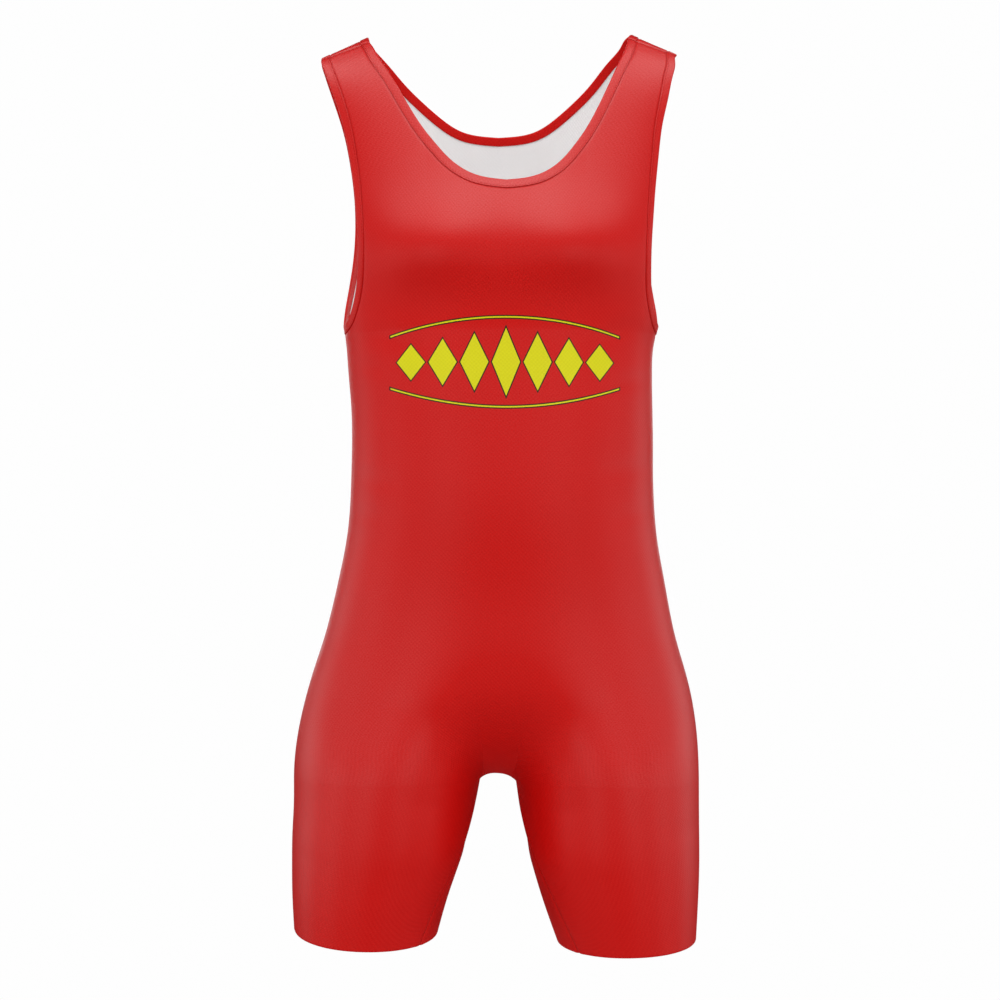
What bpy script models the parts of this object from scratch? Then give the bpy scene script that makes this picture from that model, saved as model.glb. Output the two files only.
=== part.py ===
# Wrestling singlet in its filled-out, worn form, with nobody in it.
# +X is the viewer's right, the front faces -Y and +Z is up. The origin is midway between
# the shoulders, at the height where the straps rest. Sizes below are millimetres.
import bpy
import numpy as np

MM = 0.001

WALL = 1.5                # knit wall, with its turned seams
BINDING_WIDTH = 8.5       # along the cloth, from the free edge to the stitched edge
BINDING_END_BLEND = 14.0  # near its ends it turns to follow the seam over this length
BINDING_PROUD = 0.45      # how far a binding stands out of the panel on each face
SEAM_GAP = 0.3            # between any two pieces

SHOULDER_SLOPE = 0.47     # fall of the shoulder line per unit outwards
SHOULDER_REACH = 152.9    # sets where the shoulder line crosses z = 0, at x = 144
SHOULDER_SOFTNESS = 50.0  # rounds the shoulder line over the neck
SHOULDER_LEAN = 0.0160    # the right strap sits a little higher than the left
SHOULDER_FADE = 70.0      # the shoulder slope dies out over about this drop
SEAM_FORWARD_NECK = 22.0  # the shoulder seam lies this far in front of the crest at the neck
SEAM_FORWARD_ARM = 10.0   # and this far at the armhole
STRAP_INNER_ANGLE = 40.0
STRAP_OUTER_ANGLE = 61.0

HIP_DROP = 590.0          # below this the body starts to part into two legs
CROTCH_DROP_LEFT = 681.0
CROTCH_DROP_RIGHT = 683.5
CROTCH_RISE = 5.8         # the short crotch seam arches up between the legs
CROTCH_ROUND = 2.5
CROTCH_PULL = 120.0       # how steeply the middle arrives at the seam, front and back: inwards
CROTCH_SINK = 30.0        # and downwards
CROTCH_TURN = 0.9         # how far the inner thigh's top turns under with it
CROTCH_GATHER = 1.5       # and how fast that dies out round the thigh
CROTCH_LEAVE = 0.3        # lengthens the middle's way down from the hips
HIP_MIDDLE = 8.0          # half the angle round the hips that ends in the crotch seam
HIP_GATHER = 1.35         # crowds the hips' columns towards the middle
HEM_DROP_LEFT = 824.4
HEM_DROP_RIGHT = 834.5
HEM_LIFT_OUTER = 5.5      # the hem is this much higher on the outer side
HEM_LIFT_INNER = 2.8      # and on the inner side
HEM_DIP_LEFT = 9.9        # and this much lower at the middle of the front
HEM_DIP_RIGHT = 6.6

# The garment's level sections from the shoulder line down: how far the section lies below it,
# how far it reaches to the front, to the back, to the left and right seam, how square it is,
# and how far back its side seams sit.
FIGURE_COLUMNS = ("drop", "front", "back", "left", "right", "square", "seam")
FIGURE = (
    (0.0, 0.0, 0.0, 190.0, 190.0, 2.5, 0.0),
    (2.5, 12.0, 14.0, 190.0, 188.0, 2.5, 0.0),
    (10.0, 25.0, 28.0, 188.0, 186.5, 2.5, 0.0),
    (25.0, 40.0, 46.0, 182.8, 182.7, 2.5, 0.0),
    (50.0, 55.0, 68.0, 174.5, 176.5, 2.5, 0.0),
    (75.0, 66.0, 83.0, 166.5, 170.0, 2.5, 0.0),
    (105.0, 77.0, 94.0, 159.5, 165.0, 2.5, 0.0),
    (135.0, 87.5, 100.0, 154.5, 161.0, 2.5, 0.0),
    (165.0, 98.0, 102.5, 151.5, 158.0, 2.5, 0.0),
    (190.0, 103.0, 102.5, 150.0, 156.0, 2.5, 0.0),
    (212.0, 101.0, 101.0, 149.0, 154.5, 2.5, 0.0),
    (235.0, 95.0, 99.0, 147.5, 152.0, 2.5, 0.0),
    (255.0, 91.5, 97.0, 145.5, 149.0, 2.5, 0.0),
    (272.0, 90.8, 95.0, 142.8, 144.2, 2.5, 0.0),
    (300.0, 92.0, 91.0, 140.4, 141.6, 2.45, 0.0),
    (335.0, 93.5, 85.5, 137.6, 142.0, 2.4, 0.0),
    (370.0, 95.0, 79.5, 136.9, 142.5, 2.35, 0.0),
    (400.0, 95.5, 76.0, 137.6, 142.6, 2.3, 0.0),
    (430.0, 94.5, 76.0, 138.9, 143.8, 2.3, 0.0),
    (460.0, 92.0, 80.5, 142.3, 146.8, 2.3, 1.0),
    (490.0, 89.0, 89.0, 148.2, 152.2, 2.35, 3.0),
    (520.0, 86.5, 99.0, 155.0, 157.8, 2.4, 5.0),
    (550.0, 85.0, 107.5, 163.0, 164.4, 2.55, 7.0),
    (590.0, 85.0, 114.0, 175.8, 175.8, 2.75, 8.0),
    (620.0, 86.0, 113.0, 183.0, 182.0, 2.85, 9.0),
)

# Level sections of the legs, at the left leg's drops: the outer and inner edge of each leg
# from the middle plane, the reach to the front and back, how far back the seams' plane sits,
# and how far the inseam has swung to the front, in degrees.
LEG_COLUMNS = ("drop", "outer_left", "inner_left", "inner_right", "outer_right",
               "front", "back", "seam", "swing")
LEG = (
    (679.5, 190.9, 17.7, 15.5, 186.2, 88.5, 101.0, 9.0, 0.0),
    (705.0, 191.0, 22.3, 18.6, 186.2, 88.0, 94.0, 8.0, 5.0),
    (733.0, 192.2, 28.8, 24.2, 186.3, 86.0, 88.0, 6.5, 13.0),
    (761.0, 192.5, 37.2, 31.6, 186.2, 83.0, 83.0, 5.0, 23.0),
    (789.0, 192.3, 46.5, 40.0, 185.2, 80.0, 79.0, 4.0, 32.0),
    (829.0, 190.5, 57.5, 54.0, 183.0, 75.0, 75.0, 3.0, 42.0),
)
LEG_SQUARE = 2.15

# The neck's free edge, from the middle of the front over the shoulder to the middle of the
# back: its distance from the middle, and its drop below the shoulder line (front negative).
NECK_COLUMNS = ("half_width", "drop")
NECK = (
    (0.0, -133.5), (28.0, -128.9), (49.8, -116.1), (62.2, -103.4), (72.8, -90.9),
    (81.5, -78.7), (89.5, -66.0), (98.2, -51.0), (107.4, -34.5), (113.2, -23.5),
    (117.2, -13.5), (120.6, -4.5), (121.8, 0.0), (114.0, 12.6), (103.0, 26.3),
    (86.6, 45.3), (72.7, 57.5), (57.8, 68.3), (35.9, 79.9), (0.0, 85.0),
)

# An armhole's free edge, from under the arm up the front, over the shoulder and down the back:
# where it lies round the section (90 is the side seam), and its drop (front negative).
ARMHOLE_COLUMNS = ("angle", "drop")
ARMHOLE = (
    (90.0, -260.0), (80.5, -258.0), (72.5, -252.0), (66.5, -238.0), (63.3, -222.0),
    (61.6, -200.0), (61.3, -166.0), (61.3, -111.0), (61.2, -55.0), (61.0, -15.0),
    (60.6, 0.0), (61.0, 15.0), (61.3, 60.0), (61.6, 120.0), (63.5, 170.0),
    (67.6, 205.0), (72.6, 227.0), (78.5, 244.0), (84.5, 255.5), (90.0, 260.0),
)

# Soft fullness of chest, hips and seat: out to the front or the back by so much, at this
# distance from the middle and this height, fading over these distances. It only starts at
# the side seams, growing over this distance from their plane.
FULLNESS_ONSET = 40.0
FULLNESS = (
    (-6.0, 72.0, -190.0, 44.0, 32.0),
    (-5.0, 92.0, -635.0, 50.0, 55.0),
    (7.0, 76.0, -585.0, 48.0, 60.0),
    (3.5, 66.0, -150.0, 45.0, 55.0),
)

STRAP_ROWS = 9            # mesh rows down the straps, to where the neck turns level
CHEST_ROWS = 8            # and on down to the bottom of the armholes
TORSO_ROWS = 16
CROTCH_ROWS = 7
LEG_ROWS = 8
LEG_STEPS = 13            # mesh columns round half a leg
MIDDLE_STEPS = 4          # and across the crotch seam
STRAP_STEPS = 8           # and across a strap
NECK_TURN = 0.6           # where the neck turns level, as a share of the way to its middle
ARMHOLE_TURN = {-1: 0.48, 1: 0.42}    # the same height on the armhole's front and back
UNDERARM_CROWDING = 1.4   # rows lie closer together under the arm
ANGLE_SCALE = 2.6         # millimetres round the chest for a degree
FINE_STEPS = 4000         # for reading the curves backwards
SLOPE_STEP = 0.05         # degrees and millimetres, for slopes
SHARP_ANGLE = 40.0
HIP_STEP = 4.0            # step for the body's slope at the hips
LEG_SLIVER = 0.02         # share of a leg for its slope at the crotch

UPPER_ROWS = STRAP_ROWS + CHEST_ROWS
ALL_ROWS = UPPER_ROWS + TORSO_ROWS + CROTCH_ROWS + LEG_ROWS
ALL_STEPS = 2 * LEG_STEPS + MIDDLE_STEPS
CLOTH_RED = (0.60, 0.022, 0.016, 1.0)
BINDING_RED = (0.52, 0.014, 0.012, 1.0)
KNIT_ROUGHNESS = 0.55


def column(table, names, name):
    """One named column of a table, as an array."""
    return np.array([row[names.index(name)] for row in table], float)


def spline(knots, values):
    """The natural cubic spline through the values at the knots."""
    count = len(knots)
    step = np.diff(knots)
    rise = np.diff(values) / step
    system = np.eye(count)
    bends = np.zeros(count)
    for i in range(1, count - 1):
        system[i, i - 1:i + 2] = step[i - 1], 2 * (step[i - 1] + step[i]), step[i]
        bends[i] = 6 * (rise[i] - rise[i - 1])
    bends = np.linalg.solve(system, bends)

    def at(x):
        x = np.asarray(x, float)
        i = np.clip(np.searchsorted(knots, x) - 1, 0, count - 2)
        before, after, width = x - knots[i], knots[i + 1] - x, step[i]
        cubic = (bends[i] * after ** 3 + bends[i + 1] * before ** 3) / (6 * width)
        low = (values[i] / width - bends[i] * width / 6) * after
        high = (values[i + 1] / width - bends[i + 1] * width / 6) * before
        return cubic + low + high
    return at


def curve_through(*coordinates):
    """A smooth curve through points given by their coordinates, run from 0 to 1."""
    legs = np.sqrt(sum(np.diff(c) ** 2 for c in coordinates))
    along = np.concatenate(([0.0], np.cumsum(legs)))
    splines = [spline(along / along[-1], c) for c in coordinates]
    return lambda t: [s(t) for s in splines]


def smooth_step(x):
    x = np.clip(x, 0, 1)
    return x * x * (3 - 2 * x)


# The side profile runs over the shoulder: up the front, where it is negative, to the crest
# at 0, and down the back. Its places are path lengths in millimetres.
DROPS = column(FIGURE, FIGURE_COLUMNS, "drop")
profile_depth = np.concatenate((-column(FIGURE, FIGURE_COLUMNS, "front")[:0:-1],
                                column(FIGURE, FIGURE_COLUMNS, "back")))
profile_drop = np.concatenate((DROPS[:0:-1], DROPS))
profile_path = np.concatenate(([0.0], np.cumsum(np.hypot(np.diff(profile_depth),
                                                         np.diff(profile_drop)))))
profile_path -= profile_path[len(DROPS) - 1]
depth_at = spline(profile_path, profile_depth)
drop_at = spline(profile_path, profile_drop)
section = {name: spline(DROPS, column(FIGURE, FIGURE_COLUMNS, name))
           for name in FIGURE_COLUMNS[3:]}
leg_section = {name: spline(column(LEG, LEG_COLUMNS, "drop"), column(LEG, LEG_COLUMNS, name))
               for name in LEG_COLUMNS[1:]}

fine_path = {-1: np.linspace(0, profile_path[0], FINE_STEPS),
             1: np.linspace(0, profile_path[-1], FINE_STEPS)}
fine_drop = {side: np.maximum.accumulate(drop_at(p)) for side, p in fine_path.items()}


def path_to(drop, side):
    """The place on the side profile at a drop, on the front (side -1) or the back (side 1)."""
    return np.interp(drop, fine_drop[side], fine_path[side])


def fill_out(points):
    """Adds the soft fullness of chest and seat."""
    for push, side, height, spread_side, spread_height in FULLNESS:
        across = (np.abs(points[..., 0]) - side) / spread_side
        along = (points[..., 2] - height) / spread_height
        facing = smooth_step(np.sign(push) * points[..., 1] / FULLNESS_ONSET)
        points[..., 1] += push * np.exp(-across ** 2 - along ** 2) * facing
    return points


def body_point(angle, path):
    """The cloth's outer face on the body, at an angle round the section (degrees, 90 at the
    right side seam) and a place on the side profile."""
    angle, path = np.broadcast_arrays(np.radians(angle), path)
    drop = np.maximum(drop_at(path), 0)
    left, right = section["left"](drop), section["right"](drop)
    sine = np.sin(angle)
    x = (right - left) / 2 + (right + left) / 2 * sine
    round_off = np.sqrt(np.maximum(1 - np.abs(sine) ** section["square"](drop), 0))
    y = section["seam"](drop) + (depth_at(path) - section["seam"](drop)
                                 ) * round_off * np.sign(np.cos(angle))
    shoulder = SHOULDER_SLOPE * (SHOULDER_REACH - np.hypot(x, SHOULDER_SOFTNESS))
    fade = np.exp(-(drop / SHOULDER_FADE) ** 2)
    z = (shoulder + SHOULDER_LEAN * x) * fade - drop
    return fill_out(np.stack((x, y, z), -1))


def leg_point(leg, angle, down):
    """The outer face of a leg (-1 left, 1 right): the angle is 0 at the front and 90 on its
    inner side, and down runs from 0 at the crotch to 1 at the hem."""
    angle, down = np.broadcast_arrays(np.radians(angle), down)
    name = "left" if leg < 0 else "right"
    top, hem, dip = ((CROTCH_DROP_LEFT, HEM_DROP_LEFT, HEM_DIP_LEFT) if leg < 0 else
                     (CROTCH_DROP_RIGHT, HEM_DROP_RIGHT, HEM_DIP_RIGHT))
    first, last = LEG[0][0], LEG[-1][0]
    row = first + (last - first) * down
    outer, inner = leg_section["outer_" + name](row), leg_section["inner_" + name](row)
    sine, cosine = np.sin(angle), np.cos(angle)
    x = leg * ((outer + inner) / 2 - (outer - inner) / 2 * sine)
    reach = np.where(cosine >= 0, -leg_section["front"](row) - leg_section["seam"](row),
                     leg_section["back"](row) - leg_section["seam"](row))
    round_off = np.sqrt(np.maximum(1 - np.abs(sine) ** LEG_SQUARE, 0))
    y = leg_section["seam"](row) + reach * round_off
    lift = (HEM_LIFT_OUTER * (1 - sine) + HEM_LIFT_INNER * (1 + sine)) / 2
    z = -(top + (hem - top) * down) + down * (lift - dip * np.maximum(cosine, 0))
    return fill_out(np.stack((x, y, z), -1))


def leg_angle(side, step, down):
    """How far round the leg a column lies: front panels run over the front, back panels
    over the back, and both end at the inseam."""
    row = LEG[0][0] + (LEG[-1][0] - LEG[0][0]) * down
    swing = leg_section["swing"](row)
    if side < 0:
        return -90 + step * (180 - swing)
    return -90 - step * (180 + swing)


def seam_path(angle):
    """Where the shoulder seam lies on the side profile, at an angle round the section."""
    outwards = (np.abs(angle) - STRAP_INNER_ANGLE) / (STRAP_OUTER_ANGLE - STRAP_INNER_ANGLE)
    return -(SEAM_FORWARD_NECK + (SEAM_FORWARD_ARM - SEAM_FORWARD_NECK) * outwards)


def edge_domain(table, names):
    """A free edge on the right half as a curve, in millimetres round and along the body."""
    drop = column(table, names, "drop")
    path = np.where(drop < 0, path_to(-drop, -1), path_to(drop, 1))
    if "angle" in names:
        angle = column(table, names, "angle")
    else:
        half = (section["left"](np.abs(drop)) + section["right"](np.abs(drop))) / 2
        angle = np.degrees(np.arcsin(column(table, names, "half_width") / half))
    return curve_through(angle * ANGLE_SCALE, path)


def edge_stations(table, names, side, shares):
    """Points (angle, path) of a free edge on one panel, right half, at the given shares of
    the way from the shoulder seam (0) to the table's end on that panel (1)."""
    curve = edge_domain(table, names)
    run = np.linspace(0, 1, FINE_STEPS + 1)
    round_body, path = curve(run)
    crossing = np.interp(0.0, path - seam_path(round_body / ANGLE_SCALE), run)
    last = 0.0 if side < 0 else 1.0
    round_body, path = curve(crossing + (last - crossing) * shares)
    return round_body / ANGLE_SCALE, path


def slopes(angle, path):
    """The outer face's steps per degree and per millimetre of path."""
    by_angle = body_point(angle + SLOPE_STEP, path) - body_point(angle - SLOPE_STEP, path)
    by_path = body_point(angle, path + SLOPE_STEP) - body_point(angle, path - SLOPE_STEP)
    return by_angle / (2 * SLOPE_STEP), by_path / (2 * SLOPE_STEP)


def inset(angle, path, distance, inward, square_ends):
    """The curve at a distance inside a free edge. inward is 1 or -1, the side the cloth lies
    on. Towards its ends it turns to follow the seam it meets, given in (angle, path) steps."""
    points = body_point(angle, path)
    along = np.gradient(points, axis=0)
    by_angle, by_path = slopes(angle, path)
    normal = np.cross(by_angle, by_path)
    direction = inward * np.cross(normal, along)
    direction /= np.linalg.norm(direction, axis=-1, keepdims=True)
    run = np.cumsum(np.linalg.norm(along, axis=-1))
    for index, seam_step in square_ends.items():
        seam = by_angle * seam_step[0] + by_path * seam_step[1]
        seam /= np.linalg.norm(seam, axis=-1, keepdims=True)
        near = np.exp(-((run - run[index]) / BINDING_END_BLEND) ** 2)[:, None]
        direction += (seam - direction) * near
    direction /= np.linalg.norm(direction, axis=-1, keepdims=True)
    steps = np.stack((by_angle, by_path), -1)
    gram = np.einsum("nij,nik->njk", steps, steps)
    wanted = np.einsum("nij,ni->nj", steps, direction)
    moved = np.linalg.solve(gram, wanted[..., None])[..., 0] * distance
    return angle + moved[:, 0], path + moved[:, 1]


def neck_edges(side):
    """The free and stitched edges of the neck binding on a panel, left to right."""
    level_steps = ALL_STEPS // 2 - STRAP_STEPS
    shares = np.concatenate((np.linspace(0, NECK_TURN, STRAP_ROWS + 1),
                             np.linspace(NECK_TURN, 1, level_steps + 1)[1:]))
    angle, path = edge_stations(NECK, NECK_COLUMNS, side, shares)
    angle = np.concatenate((-angle, angle[-2::-1]))
    path = np.concatenate((path, path[-2::-1]))
    seam_fall = (SEAM_FORWARD_NECK - SEAM_FORWARD_ARM) / (STRAP_OUTER_ANGLE - STRAP_INNER_ANGLE)
    ends = {0: (-1.0, seam_fall), -1: (1.0, seam_fall)}
    stitched = inset(angle, path, BINDING_WIDTH, side, ends)
    return (angle, path), stitched


def armhole_edges(side, hand):
    """The free and stitched edges of an armhole binding on a panel, from the shoulder seam
    down to the side seam. hand is -1 for the left armhole and 1 for the right."""
    turn = ARMHOLE_TURN[side]
    under = 1 - np.linspace(1, 0, CHEST_ROWS + 1) ** UNDERARM_CROWDING
    shares = np.concatenate((np.linspace(0, turn, STRAP_ROWS + 1), turn + (1 - turn) * under[1:]))
    angle, path = edge_stations(ARMHOLE, ARMHOLE_COLUMNS, side, shares)
    seam_fall = (SEAM_FORWARD_NECK - SEAM_FORWARD_ARM) / (STRAP_OUTER_ANGLE - STRAP_INNER_ANGLE)
    ends = {0: (-hand, -seam_fall), -1: (0.0, float(side))}
    stitched = inset(hand * angle, path, BINDING_WIDTH, hand * side, ends)
    return (hand * angle, path), stitched


def patch(top, bottom, left, right):
    """A Coons patch between four edges, each a list of (angle, path) points."""
    height = (left[:, 1] + right[:, 1]) / 2
    down = ((height - height[0]) / (height[-1] - height[0]))[:, None, None]
    run = np.linspace(0, 1, len(top))[None, :, None]
    return ((1 - down) * top + down * bottom
            + (1 - run) * left[:, None] + run * right[:, None]
            - (1 - down) * ((1 - run) * top[0] + run * top[-1])
            - down * ((1 - run) * bottom[0] + run * bottom[-1]))


def line(start, end, steps):
    """Evenly spaced points from start to end."""
    return start + (end - start) * np.linspace(0, 1, steps + 1)[:, None]


def upper_points(side):
    """The panel's outer points above the bottom of the armholes: two straps, which meet
    under the neck."""
    neck = np.stack(neck_edges(side)[1], -1)
    left = np.stack(armhole_edges(side, -1)[1], -1)
    right = np.stack(armhole_edges(side, 1)[1], -1)
    turn = STRAP_ROWS
    domain = np.zeros((UPPER_ROWS + 1, ALL_STEPS + 1, 2))
    left_low = line(left[turn], neck[turn], STRAP_STEPS)
    right_low = line(neck[-1 - turn], right[turn], STRAP_STEPS)
    left_top = line(left[0], neck[0], STRAP_STEPS)
    right_top = line(neck[-1], right[0], STRAP_STEPS)
    left_top[:, 1], right_top[:, 1] = seam_path(left_top[:, 0]), seam_path(right_top[:, 0])
    domain[:turn + 1, :STRAP_STEPS + 1] = patch(left_top, left_low, left[:turn + 1],
                                                neck[:turn + 1])
    domain[:turn + 1, -1 - STRAP_STEPS:] = patch(right_top, right_low, neck[::-1][:turn + 1],
                                                 right[:turn + 1])
    split = np.concatenate((left_low[:-1], neck[turn:len(neck) - turn], right_low[1:]))
    chest = np.stack((np.linspace(-90, 90, ALL_STEPS + 1),
                      np.full(ALL_STEPS + 1, left[-1, 1])), -1)
    domain[turn:] = patch(split, chest, left[turn:], right[turn:])
    return body_point(domain[..., 0], domain[..., 1]), left[-1, 1]


def leg_share():
    """How far each column lies from its side seam (0) to its inseam (1)."""
    column_number = np.arange(ALL_STEPS + 1)
    return np.minimum(np.minimum(column_number, ALL_STEPS - column_number) / LEG_STEPS, 1)


def column_angles(share):
    """The columns' angles round the body, from even ones at the chest (share 0) to ones
    gathered towards the crotch at the hips (share 1)."""
    even = np.linspace(-90, 90, ALL_STEPS + 1)
    half = -90 + (90 - HIP_MIDDLE) * (1 - (1 - leg_share()) ** HIP_GATHER)
    middle = np.linspace(-HIP_MIDDLE, HIP_MIDDLE, MIDDLE_STEPS + 1)
    gathered = np.concatenate((half[:LEG_STEPS], middle, -half[-LEG_STEPS:]))
    return even + (gathered - even) * smooth_step(share)


def panel_points(side):
    """All outer points of a panel, rows from the shoulders down, columns from the left side
    seam to the right one. Between the straps and between the legs they are unused."""
    points = np.zeros((ALL_ROWS + 1, ALL_STEPS + 1, 3))
    points[:UPPER_ROWS + 1], chest_path = upper_points(side)
    # Torso: level rows down to the hips.
    chest_drop = float(drop_at(chest_path))
    share = np.linspace(0, 1, TORSO_ROWS + 1)
    drops = chest_drop + (HIP_DROP - chest_drop) * share
    hip_row = UPPER_ROWS + TORSO_ROWS
    around = column_angles(share[:, None])
    points[UPPER_ROWS:hip_row + 1] = body_point(around, path_to(drops, side)[:, None])

    # Legs: rings that part at the inseam.
    crotch_row = hip_row + CROTCH_ROWS
    down = np.linspace(0, 1, LEG_ROWS + 1)[:, None]
    step = np.linspace(0, 1, LEG_STEPS + 1)
    left_columns = slice(0, LEG_STEPS + 1)
    right_columns = slice(ALL_STEPS, ALL_STEPS - LEG_STEPS - 1, -1)
    angles = leg_angle(side, step, down)
    points[crotch_row:, left_columns] = leg_point(-1, angles, down)
    points[crotch_row:, right_columns] = leg_point(1, angles, down)

    # Crotch seam: a short arch from one inseam to the other.
    bridge = np.linspace(-1, 1, MIDDLE_STEPS + 1)
    middle_columns = slice(LEG_STEPS, ALL_STEPS - LEG_STEPS + 1)
    start, end = points[crotch_row, LEG_STEPS].copy(), points[crotch_row, -1 - LEG_STEPS].copy()
    arch = start + (end - start) * (bridge[:, None] + 1) / 2
    arch[:, 2] += CROTCH_RISE * (1 - np.abs(bridge) ** CROTCH_ROUND)
    points[crotch_row, middle_columns] = arch

    # Between hips and crotch: Hermite curves, bent under in the middle.
    span = CROTCH_DROP_LEFT - HIP_DROP
    hip_path, above = path_to(HIP_DROP, side), path_to(HIP_DROP - HIP_STEP, side)
    leave = (body_point(around[-1], hip_path) - body_point(around[-1], above)) / HIP_STEP * span
    inner = np.clip(2 * leg_share() - 1, 0, 1)[:, None]
    leave *= 1 + CROTCH_LEAVE * inner ** 2
    arrive = np.zeros_like(leave)
    for leg, chosen in ((-1, left_columns), (1, right_columns)):
        lower = leg_point(leg, leg_angle(side, step, LEG_SLIVER), LEG_SLIVER)
        upper = leg_point(leg, leg_angle(side, step, 0.0), 0.0)
        arrive[chosen] = (lower - upper) / LEG_SLIVER * span / (HEM_DROP_LEFT - CROTCH_DROP_LEFT)
    under = np.array((0.0, -side * CROTCH_PULL, -CROTCH_SINK))
    weight = CROTCH_TURN * inner ** CROTCH_GATHER
    weight[LEG_STEPS + 1:-1 - LEG_STEPS] = 1.0
    arrive = (1 - weight) * arrive + weight * under
    t = np.linspace(0, 1, CROTCH_ROWS + 1)[:, None, None]
    hip, crotch = points[hip_row].copy(), points[crotch_row].copy()
    points[hip_row:crotch_row + 1] = ((2 * t ** 3 - 3 * t ** 2 + 1) * hip
                                      + (t ** 3 - 2 * t ** 2 + t) * leave
                                      + (3 * t ** 2 - 2 * t ** 3) * crotch
                                      + (t ** 3 - t ** 2) * arrive)
    return points


def panel_mask():
    """Which cells of the panel's grid are cloth."""
    mask = np.ones((ALL_ROWS, ALL_STEPS), bool)
    mask[-LEG_ROWS:, LEG_STEPS:-LEG_STEPS] = False
    mask[:STRAP_ROWS, STRAP_STEPS:-STRAP_STEPS] = False
    return mask


def grid_normals(points, mask):
    """Unit normals of a grid, from its cells that are cloth."""
    ahead = np.cross(points[1:, 1:] - points[:-1, :-1], points[:-1, 1:] - points[1:, :-1])
    ahead *= mask[..., None]
    normals = np.zeros_like(points)
    for rows in (slice(None, -1), slice(1, None)):
        for columns in (slice(None, -1), slice(1, None)):
            normals[rows, columns] += ahead
    length = np.linalg.norm(normals, axis=-1, keepdims=True)
    return normals / np.where(length > 0, length, 1)


def seam_points():
    """Which grid points lie on a seam between the front and the back panel."""
    seam = np.zeros((ALL_ROWS + 1, ALL_STEPS + 1), bool)
    crotch_row = ALL_ROWS - LEG_ROWS
    seam[UPPER_ROWS:, [0, -1]] = True
    seam[0, :STRAP_STEPS + 1] = True
    seam[0, -1 - STRAP_STEPS:] = True
    seam[crotch_row, LEG_STEPS:ALL_STEPS - LEG_STEPS + 1] = True
    seam[crotch_row:, [LEG_STEPS, ALL_STEPS - LEG_STEPS]] = True
    return seam


def binding_points():
    """Which grid points lie along a binding."""
    bound = np.zeros((ALL_ROWS + 1, ALL_STEPS + 1), bool)
    bound[:UPPER_ROWS + 1, [0, -1]] = True
    bound[:STRAP_ROWS + 1, [STRAP_STEPS, -1 - STRAP_STEPS]] = True
    bound[STRAP_ROWS, STRAP_STEPS:-STRAP_STEPS] = True
    return bound


def pull_in(points, mask, edges, distance):
    """Moves the grid's marked edge points into the cloth by a distance, so that a gap is
    left along the seam."""
    moved = points.copy()
    rows, columns = mask.shape
    for r, c in np.argwhere(edges):
        ways = np.zeros(3)
        for dr, dc in ((1, 0), (-1, 0), (0, 1), (0, -1)):
            near = r + dr, c + dc
            if not (0 <= near[0] <= rows and 0 <= near[1] <= columns) or edges[near]:
                continue
            cells = mask[max(min(r, near[0]) - (dr == 0), 0):max(r, near[0]) + (dr == 0),
                         max(min(c, near[1]) - (dc == 0), 0):max(c, near[1]) + (dc == 0)]
            if cells.any():
                way = points[near] - points[r, c]
                ways += way / np.linalg.norm(way)
        size = np.linalg.norm(ways)
        if size > 0:
            moved[r, c] += ways / size * distance
    return moved


# A grid cell's two triangles, by its corners, for either way of splitting it.
SHORT_FALLING = ((0, 1, 2), (0, 2, 3))
SHORT_RISING = ((0, 1, 3), (1, 2, 3))


def wall_mesh(name, outer, inner, mask):
    """A closed wall between two grids, over the cells that are cloth."""
    rows, columns = mask.shape
    number = np.arange((rows + 1) * (columns + 1)).reshape(rows + 1, columns + 1)
    offset = number.size
    faces = []
    falling = np.linalg.norm(outer[1:, 1:] - outer[:-1, :-1], axis=-1)
    rising = np.linalg.norm(outer[1:, :-1] - outer[:-1, 1:], axis=-1)
    for r, c in np.argwhere(mask):
        ring = (number[r, c], number[r + 1, c], number[r + 1, c + 1], number[r, c + 1])
        halves = SHORT_FALLING if falling[r, c] <= rising[r, c] else SHORT_RISING
        for half in halves:
            faces.append([ring[k] for k in half])
            faces.append([ring[k] + offset for k in half[::-1]])
        beside = ((r, c - 1), (r + 1, c), (r, c + 1), (r - 1, c))
        for k, (i, j) in enumerate(beside):
            if not (0 <= i < rows and 0 <= j < columns and mask[i, j]):
                a, b = ring[k], ring[(k + 1) % 4]
                faces += [(b, a, a + offset), (b, a + offset, b + offset)]
    points = np.concatenate((outer.reshape(-1, 3), inner.reshape(-1, 3))) * MM
    used = np.unique(np.array(faces))
    renumber = np.full(len(points), -1)
    renumber[used] = np.arange(len(used))
    mesh = bpy.data.meshes.new(name)
    mesh.from_pydata(points[used].tolist(), [], renumber[np.array(faces)].tolist())
    mesh.update()
    mesh.shade_smooth()
    mesh.set_sharp_from_angle(angle=np.radians(SHARP_ANGLE))
    return mesh


def add_piece(mesh, color):
    """Puts a mesh into the scene as a piece with its own material."""
    material = bpy.data.materials.new(mesh.name)
    material.use_nodes = True
    shader = material.node_tree.nodes["Principled BSDF"]
    shader.inputs["Base Color"].default_value = color
    shader.inputs["Roughness"].default_value = KNIT_ROUGHNESS
    shader.inputs["Metallic"].default_value = 0.0
    mesh.materials.append(material)
    piece = bpy.data.objects.new(mesh.name, mesh)
    bpy.context.scene.collection.objects.link(piece)
    return piece


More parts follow.
